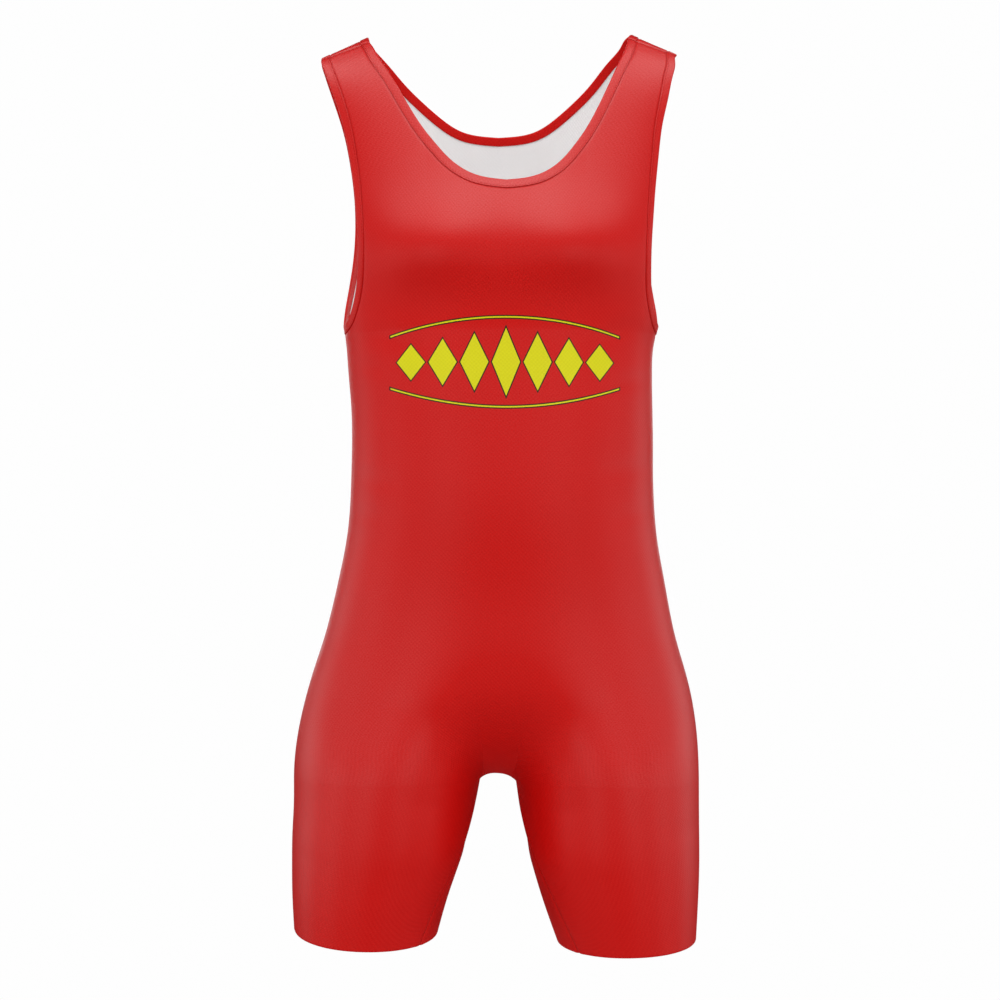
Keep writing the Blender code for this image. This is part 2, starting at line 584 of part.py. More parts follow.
def add_panels():
    """The front and back panels, whose normals agree along their seams."""
    mask = panel_mask()
    seam = seam_points()
    points = {side: panel_points(side) for side in (-1, 1)}
    normals = {-1: grid_normals(points[-1], mask), 1: -grid_normals(points[1], mask)}
    shared = normals[-1] + normals[1]
    shared /= np.maximum(np.linalg.norm(shared, axis=-1, keepdims=True), 1e-9)
    edges = seam | binding_points()
    for side, name in ((-1, "front_panel"), (1, "back_panel")):
        normal = np.where(seam[..., None], shared, normals[side])
        outer = pull_in(points[side], mask, edges, SEAM_GAP / 2)
        inner = outer - normal * WALL
        if side > 0:
            outer, inner, flipped = outer[:, ::-1], inner[:, ::-1], mask[:, ::-1]
        else:
            flipped = mask
        add_piece(wall_mesh(name, outer, inner, flipped), CLOTH_RED)


# A binding's cross-section: share of the width from the free edge, and height of the outer
# and inner face as a share of its full thickness from the middle.
BINDING_SECTION = ((0.0, 0.45), (0.12, 0.93), (0.5, 1.0), (0.9, 1.0), (1.0, 0.8))


def add_binding(name, free, stitched):
    """A folded strip between a free edge and the edge it is stitched along."""
    share = 1 - SEAM_GAP / 2 / BINDING_WIDTH
    rows = []
    for width, _ in BINDING_SECTION:
        angle = free[0] + (stitched[0] - free[0]) * width * share
        path = free[1] + (stitched[1] - free[1]) * width * share
        rows.append((angle, path))
    grid = np.stack([body_point(angle, path) for angle, path in rows])
    normal = np.stack([np.cross(*slopes(angle, path)) for angle, path in rows])
    normal /= np.linalg.norm(normal, axis=-1, keepdims=True)
    outward = np.sign(np.sum(normal * grid * (1, 1, 0), axis=-1).sum())
    normal *= outward
    lengths = np.linalg.norm(np.diff(grid, axis=1), axis=-1)
    for end, neighbour, length in ((0, 1, lengths[:, 0]), (-1, -2, lengths[:, -1])):
        step = (grid[:, neighbour] - grid[:, end]) / length[:, None]
        grid[:, end] += step * SEAM_GAP / 2
    thick = np.array([height for _, height in BINDING_SECTION])[:, None, None]
    half = WALL / 2 + BINDING_PROUD
    middle = grid - normal * WALL / 2
    outer, inner = middle + normal * half * thick, middle - normal * half * thick
    across = outer[1, 0] - outer[0, 0]
    along = outer[0, 1] - outer[0, 0]
    if np.dot(np.cross(across, along), normal[0, 0]) < 0:
        outer, inner = outer[::-1], inner[::-1]
    mask = np.ones((outer.shape[0] - 1, outer.shape[1] - 1), bool)
    add_piece(wall_mesh(name, outer, inner, mask), BINDING_RED)


def build():
    for thing in list(bpy.data.objects):
        bpy.data.objects.remove(thing)
    add_panels()
    for side, panel in ((-1, "front"), (1, "back")):
        add_binding("neck_binding_" + panel, *neck_edges(side))
        for hand, name in ((-1, "left"), (1, "right")):
            edges = armhole_edges(side, hand)
            add_binding("armhole_binding_" + name + "_" + panel, *edges)


build()
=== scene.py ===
# Wrestling singlet in its filled-out, worn form, with nobody in it: two stretched panels,
# folded bindings, sewn seams and a printed band. +X is the viewer's right, the front faces
# -Y and +Z is up. Tables and surface functions are in millimetres, meshes in metres.
from functools import partialmethod

import bpy
import numpy as np
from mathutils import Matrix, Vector


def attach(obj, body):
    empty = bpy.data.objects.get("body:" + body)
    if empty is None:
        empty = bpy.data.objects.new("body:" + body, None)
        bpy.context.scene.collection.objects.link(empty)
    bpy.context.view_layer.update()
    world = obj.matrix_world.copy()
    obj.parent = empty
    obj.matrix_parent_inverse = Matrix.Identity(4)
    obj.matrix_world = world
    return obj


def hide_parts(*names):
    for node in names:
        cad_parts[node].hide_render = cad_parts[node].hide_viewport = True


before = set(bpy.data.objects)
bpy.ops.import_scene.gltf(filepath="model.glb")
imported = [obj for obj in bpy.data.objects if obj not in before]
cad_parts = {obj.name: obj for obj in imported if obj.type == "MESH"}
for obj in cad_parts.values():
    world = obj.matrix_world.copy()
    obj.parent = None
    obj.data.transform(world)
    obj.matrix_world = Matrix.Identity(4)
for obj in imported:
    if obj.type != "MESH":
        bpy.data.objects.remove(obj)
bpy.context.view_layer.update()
mm = 0.001

# the form is given by level sections and by the free edges
shoulders = {
    "slope": 0.47,  # fall of the shoulder line per unit outwards
    "reach": 152.9,  # sets where that line crosses z = 0
    "softness": 50.0,  # rounds it over the neck
    "lean": 0.0160,  # the right strap sits a little higher
    "fade": 70.0,  # the slope dies out over about this drop
    "seamForwardNeck": 22.0,  # the seam lies in front of the crest, at the neck
    "seamForwardArm": 10.0,  # and at the armhole
    "innerAngle": 40.0,  # where a strap begins and ends round the section
    "outerAngle": 61.0,
}
crotch = {
    "hipDrop": 590.0,  # below this the body parts into two legs
    "dropLeft": 681.0,
    "dropRight": 683.5,
    "rise": 5.8,  # the short crotch seam arches up between the legs
    "round": 2.5,
    "pull": 120.0,  # how steeply the middle arrives at the seam: inwards
    "sink": 30.0,  # and downwards
    "turn": 0.9,  # how far the inner thigh's top turns under with it
    "gather": 1.5,  # how fast that dies out round the thigh
    "leave": 0.3,  # lengthens the middle's way down from the hips
    "hipMiddle": 8.0,  # half the hips' angle that ends in the crotch seam
    "hipGather": 1.35,  # crowds the hips' columns towards the middle
    "step": 4.0,
    "sliver": 0.02,
}
hems = {"dropLeft": 824.4, "dropRight": 834.5, "liftOuter": 5.5, "liftInner": 2.8,
        "dipLeft": 9.9, "dipRight": 6.6}

# drop below the shoulder line; reach to front, back, left and right; squareness; seam plane
figureColumns = ("drop", "front", "back", "left", "right", "square", "seam")
figure = (
    (0, 0, 0, 190, 190, 2.5, 0),
    (2.5, 12, 14, 190, 188, 2.5, 0),
    (10, 25, 28, 188, 186.5, 2.5, 0),
    (25, 40, 46, 182.8, 182.7, 2.5, 0),
    (50, 55, 68, 174.5, 176.5, 2.5, 0),
    (75, 66, 83, 166.5, 170, 2.5, 0),
    (105, 77, 94, 159.5, 165, 2.5, 0),
    (135, 87.5, 100, 154.5, 161, 2.5, 0),
    (165, 98, 102.5, 151.5, 158, 2.5, 0),
    (190, 103, 102.5, 150, 156, 2.5, 0),
    (212, 101, 101, 149, 154.5, 2.5, 0),
    (235, 95, 99, 147.5, 152, 2.5, 0),
    (255, 91.5, 97, 145.5, 149, 2.5, 0),
    (272, 90.8, 95, 142.8, 144.2, 2.5, 0),
    (300, 92, 91, 140.4, 141.6, 2.45, 0),
    (335, 93.5, 85.5, 137.6, 142, 2.4, 0),
    (370, 95, 79.5, 136.9, 142.5, 2.35, 0),
    (400, 95.5, 76, 137.6, 142.6, 2.3, 0),
    (430, 94.5, 76, 138.9, 143.8, 2.3, 0),
    (460, 92, 80.5, 142.3, 146.8, 2.3, 1),
    (490, 89, 89, 148.2, 152.2, 2.35, 3),
    (520, 86.5, 99, 155, 157.8, 2.4, 5),
    (550, 85, 107.5, 163, 164.4, 2.55, 7),
    (590, 85, 114, 175.8, 175.8, 2.75, 8),
    (620, 86, 113, 183, 182, 2.85, 9),
)

# the same for the legs, at the left leg's drops; swing turns the inseam to the front
legColumns = ("drop", "outerLeft", "innerLeft", "innerRight", "outerRight",
              "front", "back", "seam", "swing")
legTable = (
    (679.5, 190.9, 17.7, 15.5, 186.2, 88.5, 101, 9, 0),
    (705, 191, 22.3, 18.6, 186.2, 88, 94, 8, 5),
    (733, 192.2, 28.8, 24.2, 186.3, 86, 88, 6.5, 13),
    (761, 192.5, 37.2, 31.6, 186.2, 83, 83, 5, 23),
    (789, 192.3, 46.5, 40, 185.2, 80, 79, 4, 32),
    (829, 190.5, 57.5, 54, 183, 75, 75, 3, 42),
)
legSquare = 2.15

# free edges: half width or angle round the section, and drop (front negative)
neckEdge = (
    (0, -133.5), (28, -128.9), (49.8, -116.1), (62.2, -103.4), (72.8, -90.9),
    (81.5, -78.7), (89.5, -66), (98.2, -51), (107.4, -34.5), (113.2, -23.5),
    (117.2, -13.5), (120.6, -4.5), (121.8, 0), (114, 12.6), (103, 26.3),
    (86.6, 45.3), (72.7, 57.5), (57.8, 68.3), (35.9, 79.9), (0, 85),
)
armholeEdge = (
    (90, -260), (80.5, -258), (72.5, -252), (66.5, -238), (63.3, -222),
    (61.6, -200), (61.3, -166), (61.3, -111), (61.2, -55), (61, -15),
    (60.6, 0), (61, 15), (61.3, 60), (61.6, 120), (63.5, 170),
    (67.6, 205), (72.6, 227), (78.5, 244), (84.5, 255.5), (90, 260),
)

# soft fullness: push to front or back, place across and up, and how far it spreads
fullness = (
    (-6, 72, -190, 44, 32),
    (-5, 92, -635, 50, 55),
    (7, 76, -585, 48, 60),
    (3.5, 66, -150, 45, 55),
)
fullnessOnset = 40.0

# mesh: each count of the solids' grid is cut this many times finer
fine = 5
rows = {"strap": 9 * fine, "chest": 8 * fine, "torso": 16 * fine, "crotch": 7 * fine,
        "leg": 8 * fine}
steps = {"leg": 13 * fine, "middle": 4 * fine, "strap": 8 * fine}
upperRows = rows["strap"] + rows["chest"]
hipRow = upperRows + rows["torso"]
crotchRow = hipRow + rows["crotch"]
allRows = crotchRow + rows["leg"]
allSteps = 2 * steps["leg"] + steps["middle"]
neckTurn = 0.6  # share of the half neck edge that the strap takes
armholeTurn = {-1: 0.48, 1: 0.42}  # the same for the armholes' edges, front and back
underarmCrowding = 1.4  # crowds the rows towards the underarm
angleScale = 2.6  # a degree round the body counts as so many mm
slopeStep = 0.05
fineSteps = 4000
chunk = 4000  # points handled at a time
tiny = 1e-9


def columnsOf(table, names):
    return dict(zip(names, np.array(table, float).T))


def lengthsOf(vectors):
    return np.linalg.norm(vectors, axis=-1, keepdims=True)


def unit(vectors):
    return vectors / np.maximum(lengthsOf(vectors), tiny)


def bell(x, spread):
    return np.exp(-(x / spread) ** 2)


def lengthAlong(points):  # from the first point to each one
    return np.concatenate(([0.0], np.cumsum(np.linalg.norm(np.diff(points, axis=0), axis=-1))))


def naturalSpline(knots, values):  # cubic pieces with equal slope and bend at the knots
    count = len(knots)
    gap = np.diff(knots)
    rise = np.diff(values) / gap
    system = np.eye(count)
    bends = np.zeros(count)
    for i in range(1, count - 1):
        system[i, i - 1:i + 2] = gap[i - 1], 2 * (gap[i - 1] + gap[i]), gap[i]
        bends[i] = 6 * (rise[i] - rise[i - 1])
    bends = np.linalg.solve(system, bends)

    def at(x):
        x = np.asarray(x, float)
        i = np.clip(np.searchsorted(knots, x) - 1, 0, count - 2)
        before, after, width = x - knots[i], knots[i + 1] - x, gap[i]
        cubic = (bends[i] * after ** 3 + bends[i + 1] * before ** 3) / (6 * width)
        low = (values[i] / width - bends[i] * width / 6) * after
        high = (values[i + 1] / width - bends[i + 1] * width / 6) * before
        return cubic + low + high
    return at


def curveThrough(*coordinates):  # smooth curve through points, run from 0 to 1 by length
    along = lengthAlong(np.stack(coordinates, -1))
    splines = [naturalSpline(along / along[-1], c) for c in coordinates]
    return lambda t: [s(t) for s in splines]


def smoothStep(x):
    x = np.clip(x, 0, 1)
    return x * x * (3 - 2 * x)


# the side profile runs up the front (negative), over the crest at 0 and down the back
bodyTable, legsTable = columnsOf(figure, figureColumns), columnsOf(legTable, legColumns)
drops = bodyTable["drop"]
profileDepth = np.concatenate((-bodyTable["front"][:0:-1], bodyTable["back"]))
profileDrop = np.concatenate((drops[:0:-1], drops))
profilePath = lengthAlong(np.stack((profileDepth, profileDrop), -1))
profilePath -= profilePath[len(drops) - 1]
depthAt = naturalSpline(profilePath, profileDepth)
dropAt = naturalSpline(profilePath, profileDrop)
section = {name: naturalSpline(drops, bodyTable[name]) for name in figureColumns[3:]}
legSection = {name: naturalSpline(legsTable["drop"], legsTable[name]) for name in legColumns[1:]}
finePath = {-1: np.linspace(0, profilePath[0], fineSteps),
            1: np.linspace(0, profilePath[-1], fineSteps)}
fineDrop = {side: np.maximum.accumulate(dropAt(p)) for side, p in finePath.items()}


def pathTo(drop, side):
    return np.interp(drop, fineDrop[side], finePath[side])


def fillOut(points):  # adds a bell of fullness round each place in the table
    for push, across, height, spreadAcross, spreadUp in fullness:
        near = bell(np.abs(points[..., 0]) - across, spreadAcross)
        near *= bell(points[..., 2] - height, spreadUp)
        facing = smoothStep(np.sign(push) * points[..., 1] / fullnessOnset)
        points[..., 1] += push * near * facing
    return points


def squaredCosine(sine, square):  # of a superellipse; 2 gives the plain cosine's size
    return np.sqrt(np.maximum(1 - np.abs(sine) ** square, 0))


def bodyPoint(angle, path):
    # superellipse section round the body at a place on the side profile, dropped from the
    # sloping shoulder line; 90 degrees is the right side seam
    angle, path = np.broadcast_arrays(np.radians(angle), path)
    drop = np.maximum(dropAt(path), 0)
    left, right = section["left"](drop), section["right"](drop)
    sine = np.sin(angle)
    x = (right - left) / 2 + (right + left) / 2 * sine
    seam = section["seam"](drop)
    reach = (depthAt(path) - seam) * squaredCosine(sine, section["square"](drop))
    y = seam + reach * np.sign(np.cos(angle))
    crest = shoulders["slope"] * (shoulders["reach"] - np.hypot(x, shoulders["softness"]))
    fade = bell(drop, shoulders["fade"])
    z = (crest + shoulders["lean"] * x) * fade - drop
    return fillOut(np.stack((x, y, z), -1))


def legDrop(down):  # from the share of a leg's length to the leg table's drop
    return legTable[0][0] + (legTable[-1][0] - legTable[0][0]) * down


def legPoint(leg, angle, down):
    # superellipse ring of a leg (-1 left, 1 right); 0 degrees is the front, 90 the inner side
    angle, down = np.broadcast_arrays(np.radians(angle), down)
    name = "Left" if leg < 0 else "Right"
    top, hem = crotch["drop" + name], hems["drop" + name]
    row = legDrop(down)
    outer, inner = legSection["outer" + name](row), legSection["inner" + name](row)
    sine, cosine = np.sin(angle), np.cos(angle)
    x = leg * ((outer + inner) / 2 - (outer - inner) / 2 * sine)
    seam = legSection["seam"](row)
    reach = np.where(cosine >= 0, -legSection["front"](row), legSection["back"](row)) - seam
    y = seam + reach * squaredCosine(sine, legSquare)
    lift = (hems["liftOuter"] * (1 - sine) + hems["liftInner"] * (1 + sine)) / 2
    lift -= hems["dip" + name] * np.maximum(cosine, 0)
    z = -(top + (hem - top) * down) + down * lift
    return fillOut(np.stack((x, y, z), -1))


def legAngle(side, share, down):
    swing = legSection["swing"](legDrop(down))
    return -90 + share * (180 - swing) if side < 0 else -90 - share * (180 + swing)


def seamPath(angle):  # the shoulder seam's place on the side profile
    outwards = (np.abs(angle) - shoulders["innerAngle"]) / (shoulders["outerAngle"]
                                                            - shoulders["innerAngle"])
    return -(shoulders["seamForwardNeck"] * (1 - outwards)
             + shoulders["seamForwardArm"] * outwards)


def edgeStations(kind, side, shares):  # a free edge from the shoulder seam to its far end
    table = neckEdge if kind == "neck" else armholeEdge
    first, drop = np.array(table).T
    path = np.where(drop < 0, pathTo(-drop, -1), pathTo(drop, 1))
    if kind == "neck":
        half = (section["left"](np.abs(drop)) + section["right"](np.abs(drop))) / 2
        first = np.degrees(np.arcsin(first / half))
    curve = curveThrough(first * angleScale, path)
    run = np.linspace(0, 1, fineSteps + 1)
    roundBody, path = curve(run)
    crossing = np.interp(0.0, path - seamPath(roundBody / angleScale), run)
    roundBody, path = curve(crossing + ((0.0 if side < 0 else 1.0) - crossing) * shares)
    return roundBody / angleScale, path


def slopes(angle, path):
    byAngle = bodyPoint(angle + slopeStep, path) - bodyPoint(angle - slopeStep, path)
    byPath = bodyPoint(angle, path + slopeStep) - bodyPoint(angle, path - slopeStep)
    return byAngle / (2 * slopeStep), byPath / (2 * slopeStep)


def inset(angle, path, inward, ends):
    # moves an edge in by the binding's width, square to it in the surface; towards its ends
    # it turns to follow the seam it meets
    along = np.gradient(bodyPoint(angle, path), axis=0)
    byAngle, byPath = slopes(angle, path)
    direction = unit(inward * np.cross(np.cross(byAngle, byPath), along))
    run = np.cumsum(np.linalg.norm(along, axis=-1))
    for index, seamStep in ends.items():
        seam = unit(byAngle * seamStep[0] + byPath * seamStep[1])
        near = bell(run - run[index], binding["endBlend"])[:, None]
        direction += (seam - direction) * near
    both = np.stack((byAngle, byPath), -1)
    gram = np.einsum("nij,nik->njk", both, both)
    wanted = np.einsum("nij,ni->nj", both, unit(direction))
    moved = np.linalg.solve(gram, wanted[..., None])[..., 0] * binding["width"]
    return angle + moved[:, 0], path + moved[:, 1]


seamFall = ((shoulders["seamForwardNeck"] - shoulders["seamForwardArm"])
            / (shoulders["outerAngle"] - shoulders["innerAngle"]))


def neckEdges(side):  # free and stitched edge of the neck binding, left to right
    level = allSteps // 2 - steps["strap"]
    shares = np.concatenate((np.linspace(0, neckTurn, rows["strap"] + 1),
                             np.linspace(neckTurn, 1, level + 1)[1:]))
    angle, path = edgeStations("neck", side, shares)
    angle = np.concatenate((-angle, angle[-2::-1]))
    path = np.concatenate((path, path[-2::-1]))
    ends = {0: (-1.0, seamFall), -1: (1.0, seamFall)}
    return (angle, path), inset(angle, path, side, ends)


def armholeEdges(side, hand):  # the same for an armhole, from the shoulder down
    turn = armholeTurn[side]
    under = 1 - np.linspace(1, 0, rows["chest"] + 1) ** underarmCrowding
    shares = np.concatenate((np.linspace(0, turn, rows["strap"] + 1),
                             turn + (1 - turn) * under[1:]))
    angle, path = edgeStations("armhole", side, shares)
    ends = {0: (-hand, -seamFall), -1: (0.0, float(side))}
    return (hand * angle, path), inset(hand * angle, path, hand * side, ends)


def coonsPatch(top, bottom, left, right):  # fills a patch between four edges
    height = (left[:, 1] + right[:, 1]) / 2
    down = ((height - height[0]) / (height[-1] - height[0]))[:, None, None]
    run = np.linspace(0, 1, len(top))[None, :, None]
    return ((1 - down) * top + down * bottom
            + (1 - run) * left[:, None] + run * right[:, None]
            - (1 - down) * ((1 - run) * top[0] + run * top[-1])
            - down * ((1 - run) * bottom[0] + run * bottom[-1]))


def lineBetween(start, end, count):
    return start + (end - start) * np.linspace(0, 1, count + 1)[:, None]


def fromSide(number):  # steps from the nearer side seam
    return np.minimum(number, allSteps - number)


def legShare():  # how far each column lies from its side seam to its inseam
    return np.minimum(fromSide(np.arange(allSteps + 1)) / steps["leg"], 1)


def columnAngles(share):  # even at the chest, gathered towards the crotch at the hips
    even = np.linspace(-90, 90, allSteps + 1)
    mid = crotch["hipMiddle"]
    half = -90 + (90 - mid) * (1 - (1 - legShare()) ** crotch["hipGather"])
    count = steps["leg"]
    gathered = np.concatenate((half[:count], np.linspace(-mid, mid, steps["middle"] + 1),
                               -half[-count:]))
    return even + (gathered - even) * smoothStep(share)


binding = {
    "width": 8.5,  # from the free edge to the stitched edge
    "proud": 0.45,  # stands out of the panel on each face
    "ditch": 0.45,  # how deep the line beside it is
    "endBlend": 14.0,  # near its ends it turns to follow the seam over this length
    "steps": 26,  # mesh steps round the strip
    "freeRound": 1.5,  # radius of the folded edge
    "sewnRound": 0.8,  # and of the edge beside the ditch
    "sewnHeight": 0.5,
    "dimple": 0.10,  # the stitches draw the strip in, this far from the sewn edge
    "dimpleAway": 1.5,
    "dimpleSpread": 0.5,
    "pucker": 0.05,
    "endSunk": 0.35,  # both ends are pressed flat by this share, over this length
    "endSpread": 0.8,
    "least": 0.01,  # half the thickness never falls below this
    "shadow": 0.7,  # spread of the painted shade in the ditch beside the sewn edge
    "seedStep": 2.3,  # between the waves of one strip and the next
}
panel = {
    "wall": 1.3,  # thickness away from the seams and hems
    "solidWall": 1.5,  # of the solids, which the bindings lie centred on
    "seamDitch": 0.75,  # depth and spread of a sewn seam's line
    "seamSpread": 1.0,
    "seamRidge": 0.28,  # the allowance lifts the cloth this far from the seam
    "ridgeAway": 4.2,
    "ridgeSpread": 2.6,
    "seamShadow": 1.1,  # spread of the painted shade along a seam's ditch, in the colour
    "allowance": 0.7,  # thickness that the seam allowance adds, and its width
    "allowanceWidth": 4.5,
    "hemRound": 0.4,  # radius outside, and how many times more inside
    "hemRoundInside": 1.6,
    "hemTurn": 20.0,  # width of the turned-up hem, seen from inside
    "hemThick": 0.6,  # thickness that it adds, within this step
    "hemStep": 0.5,
    "creaseClear": 12.0,  # creases fade out this far from seams and edges
    "gloss": 0.17,  # gloss of level-facing cloth; more where it faces up, less below
    "glossRise": 1.7,
    "glossMost": 0.75,
    "glossPasses": 60,  # of smoothing from row to row
}


def panelPoints(side):
    # rows from the shoulders down and columns from the left side seam to the right one:
    # two straps that meet under the neck, level torso rows, and two legs
    points = np.zeros((allRows + 1, allSteps + 1, 3))
    neck = np.stack(neckEdges(side)[1], -1)
    left, right = (np.stack(armholeEdges(side, hand)[1], -1) for hand in (-1, 1))
    turn, across = rows["strap"], steps["strap"]
    domain = np.zeros((upperRows + 1, allSteps + 1, 2))
    lows = []
    for armhole, way in ((left, 1), (right, -1)):  # each strap from its armhole to the neck
        inner = neck[::way]
        top = lineBetween(armhole[0], inner[0], across)
        top[:, 1] = seamPath(top[:, 0])
        lows.append(lineBetween(armhole[turn], inner[turn], across))
        domain[:turn + 1, ::way][:, :across + 1] = coonsPatch(top, lows[-1], armhole[:turn + 1],
                                                              inner[:turn + 1])
    split = np.concatenate((lows[0][:-1], neck[turn:len(neck) - turn], lows[1][-2::-1]))
    chest = np.stack((np.linspace(-90, 90, allSteps + 1),
                      np.full(allSteps + 1, left[-1, 1])), -1)
    domain[turn:] = coonsPatch(split, chest, left[turn:], right[turn:])
    points[:upperRows + 1] = bodyPoint(domain[..., 0], domain[..., 1])

    share = np.linspace(0, 1, rows["torso"] + 1)
    chestDrop = float(dropAt(left[-1, 1]))
    level = chestDrop + (crotch["hipDrop"] - chestDrop) * share
    around = columnAngles(share[:, None])
    points[upperRows:hipRow + 1] = bodyPoint(around, pathTo(level, side)[:, None])

    down = np.linspace(0, 1, rows["leg"] + 1)[:, None]
    legSteps = steps["leg"]
    share = np.linspace(0, 1, legSteps + 1)
    leftColumns = slice(0, legSteps + 1)
    rightColumns = slice(allSteps, allSteps - legSteps - 1, -1)
    angles = legAngle(side, share, down)
    points[crotchRow:, leftColumns] = legPoint(-1, angles, down)
    points[crotchRow:, rightColumns] = legPoint(1, angles, down)

    bridge = np.linspace(-1, 1, steps["middle"] + 1)  # the crotch seam's arch
    middle = slice(legSteps, allSteps - legSteps + 1)
    start, end = points[crotchRow, legSteps].copy(), points[crotchRow, -1 - legSteps].copy()
    arch = start + (end - start) * (bridge[:, None] + 1) / 2
    arch[:, 2] += crotch["rise"] * (1 - np.abs(bridge) ** crotch["round"])
    points[crotchRow, middle] = arch

    # Hermite curves from the hips to the legs' tops, bent under in the middle
    span = crotch["dropLeft"] - crotch["hipDrop"]
    hipPath = pathTo(crotch["hipDrop"], side)
    above = pathTo(crotch["hipDrop"] - crotch["step"], side)
    leave = (bodyPoint(around[-1], hipPath) - bodyPoint(around[-1], above)) / crotch["step"] * span
    inner = np.clip(2 * legShare() - 1, 0, 1)[:, None]
    leave *= 1 + crotch["leave"] * inner ** 2
    arrive = np.zeros_like(leave)
    legLength = hems["dropLeft"] - crotch["dropLeft"]
    for leg, chosen in ((-1, leftColumns), (1, rightColumns)):
        lower = legPoint(leg, legAngle(side, share, crotch["sliver"]), crotch["sliver"])
        upper = legPoint(leg, legAngle(side, share, 0.0), 0.0)
        arrive[chosen] = (lower - upper) / crotch["sliver"] * span / legLength
    arrive[middle] = lineBetween(arrive[legSteps].copy(), arrive[-1 - legSteps].copy(),
                                 steps["middle"])
    weight = crotch["turn"] * inner ** crotch["gather"]
    blend = smoothStep((1 - np.abs(bridge)) * 2)[:, None]
    weight[middle] = crotch["turn"] + (1 - crotch["turn"]) * blend
    under = np.array((0.0, -side * crotch["pull"], -crotch["sink"]))
    arrive = (1 - weight) * arrive + weight * under
    t = np.linspace(0, 1, rows["crotch"] + 1)[:, None, None]
    hip, low = points[hipRow].copy(), points[crotchRow].copy()
    points[hipRow:crotchRow + 1] = ((2 * t ** 3 - 3 * t ** 2 + 1) * hip
                                    + (t ** 3 - 2 * t ** 2 + t) * leave
                                    + (3 * t ** 2 - 2 * t ** 3) * low
                                    + (t ** 3 - t ** 2) * arrive)
    return points


smoothing = {
    "underarm": 30,  # passes over the rows under the arms, and how many rows either side
    "underarmSpread": 9.0,
    "thigh": 60,  # the same where the legs begin
    "thighSpread": 12.0,
    "crotch": 300,  # passes between the hips and the crotch seam
    "crotchFade": 20.0,  # rows over which that dies out above and below
    "crotchColumns": 60.0,
    "pass": 0.5,
    "refill": 0.53,  # undoes the shrinking of each pass, except in the crotch
}


def eased(points, weight, passes, back):
    # draws each point towards the line between its neighbours, with the panel's edges held;
    # with a step back after each pass, which keeps the fullness, it moves along its normal only
    row, fromEdge = np.arange(allRows + 1)[:, None], fromSide(np.arange(allSteps + 1))[None]
    inside = (fromEdge > 0) & (row > 0) & (row < allRows)
    inside &= (row > rows["strap"]) | (fromEdge < steps["strap"])
    inside &= (row < crotchRow) | (fromEdge < steps["leg"])
    weight = (weight * inside)[1:-1, 1:-1, None]
    points = points.copy()
    for _ in range(passes):
        for amount in [smoothing["pass"]] + [-back] * (back > 0):
            here = points[1:-1, 1:-1]
            pull = np.zeros_like(here)
            for before, after in ((points[:-2, 1:-1], points[2:, 1:-1]),
                                  (points[1:-1, :-2], points[1:-1, 2:])):
                first, second = lengthsOf(before - here) + tiny, lengthsOf(after - here) + tiny
                pull += (before * second + after * first) / (first + second) / 2 - here / 2
            if back > 0:
                normal = unit(np.cross(points[2:, 1:-1] - points[:-2, 1:-1],
                                       points[1:-1, 2:] - points[1:-1, :-2]))
                pull = normal * np.sum(pull * normal, axis=-1, keepdims=True)
            points[1:-1, 1:-1] = here + weight * amount * pull
    return points


def easedPanel(side):
    points = panelPoints(side)
    row, fromEdge = np.arange(allRows + 1)[:, None], fromSide(np.arange(allSteps + 1))[None]
    for line, passes, spread in ((upperRows, "underarm", "underarmSpread"),
                                 (crotchRow, "thigh", "thighSpread")):
        weight = bell(row - line, smoothing[spread])
        weight = np.broadcast_to(weight, points.shape[:2])
        points = eased(points, weight, smoothing[passes], smoothing["refill"])
    fromMiddle = np.abs(row - (hipRow + crotchRow) / 2) - (crotchRow - hipRow) / 2
    weight = smoothStep(1 - fromMiddle / smoothing["crotchFade"])
    weight = weight * smoothStep((fromEdge - steps["leg"]) / smoothing["crotchColumns"] + 1)
    return eased(points, weight, smoothing["crotch"], 0.0)


edgeShares = (0.12, 0.3, 0.6)  # extra mesh lines beside every edge, as shares of a cell


def finerIndex(count, after, before):  # grid places, crowded after or before some lines
    extra = [line + share for line in after for share in edgeShares]
    extra += [line - share for line in before for share in edgeShares]
    return np.sort(np.concatenate((np.arange(count + 1), extra)))


rowIndex = finerIndex(allRows, (0, rows["strap"]), (crotchRow, allRows))
columnIndex = finerIndex(allSteps, (0, allSteps - steps["leg"], allSteps - steps["strap"]),
                         (steps["strap"], steps["leg"], allSteps))


def lineAt(index, place):  # number of the refined grid's line there
    return int(np.searchsorted(index, place))


strapRow, chestRow, aboveLegs, legRow = (
    lineAt(rowIndex, row) for row in (rows["strap"], upperRows, crotchRow - 1, crotchRow))
innerColumns = {
    name: [lineAt(columnIndex, number) for number in (steps[name], allSteps - steps[name])]
    for name in ("strap", "leg")}


def sampled(grid, byRow, byColumn):  # reads a grid between its lines
    low = np.minimum(byRow.astype(int), grid.shape[0] - 2)
    part = (byRow - low)[:, None, None]
    grid = grid[low] * (1 - part) + grid[low + 1] * part
    low = np.minimum(byColumn.astype(int), grid.shape[1] - 2)
    part = (byColumn - low)[None, :, None]
    return grid[:, low] * (1 - part) + grid[:, low + 1] * part


def clothCells():  # which cells of the grid are cloth
    middle = (rowIndex[:-1] + rowIndex[1:]) / 2, (columnIndex[:-1] + columnIndex[1:]) / 2
    r, c = np.meshgrid(*middle, indexing="ij")
    return ~(((r > crotchRow) & (fromSide(c) > steps["leg"]))
             | ((r < rows["strap"]) & (fromSide(c) > steps["strap"])))


def gridNormals(points, cells):
    facing = np.cross(points[1:, 1:] - points[:-1, :-1], points[:-1, 1:] - points[1:, :-1])
    facing = facing * cells[..., None]
    normals = np.zeros_like(points)
    for r in (slice(None, -1), slice(1, None)):
        for c in (slice(None, -1), slice(1, None)):
            normals[r, c] += facing
    return unit(normals)


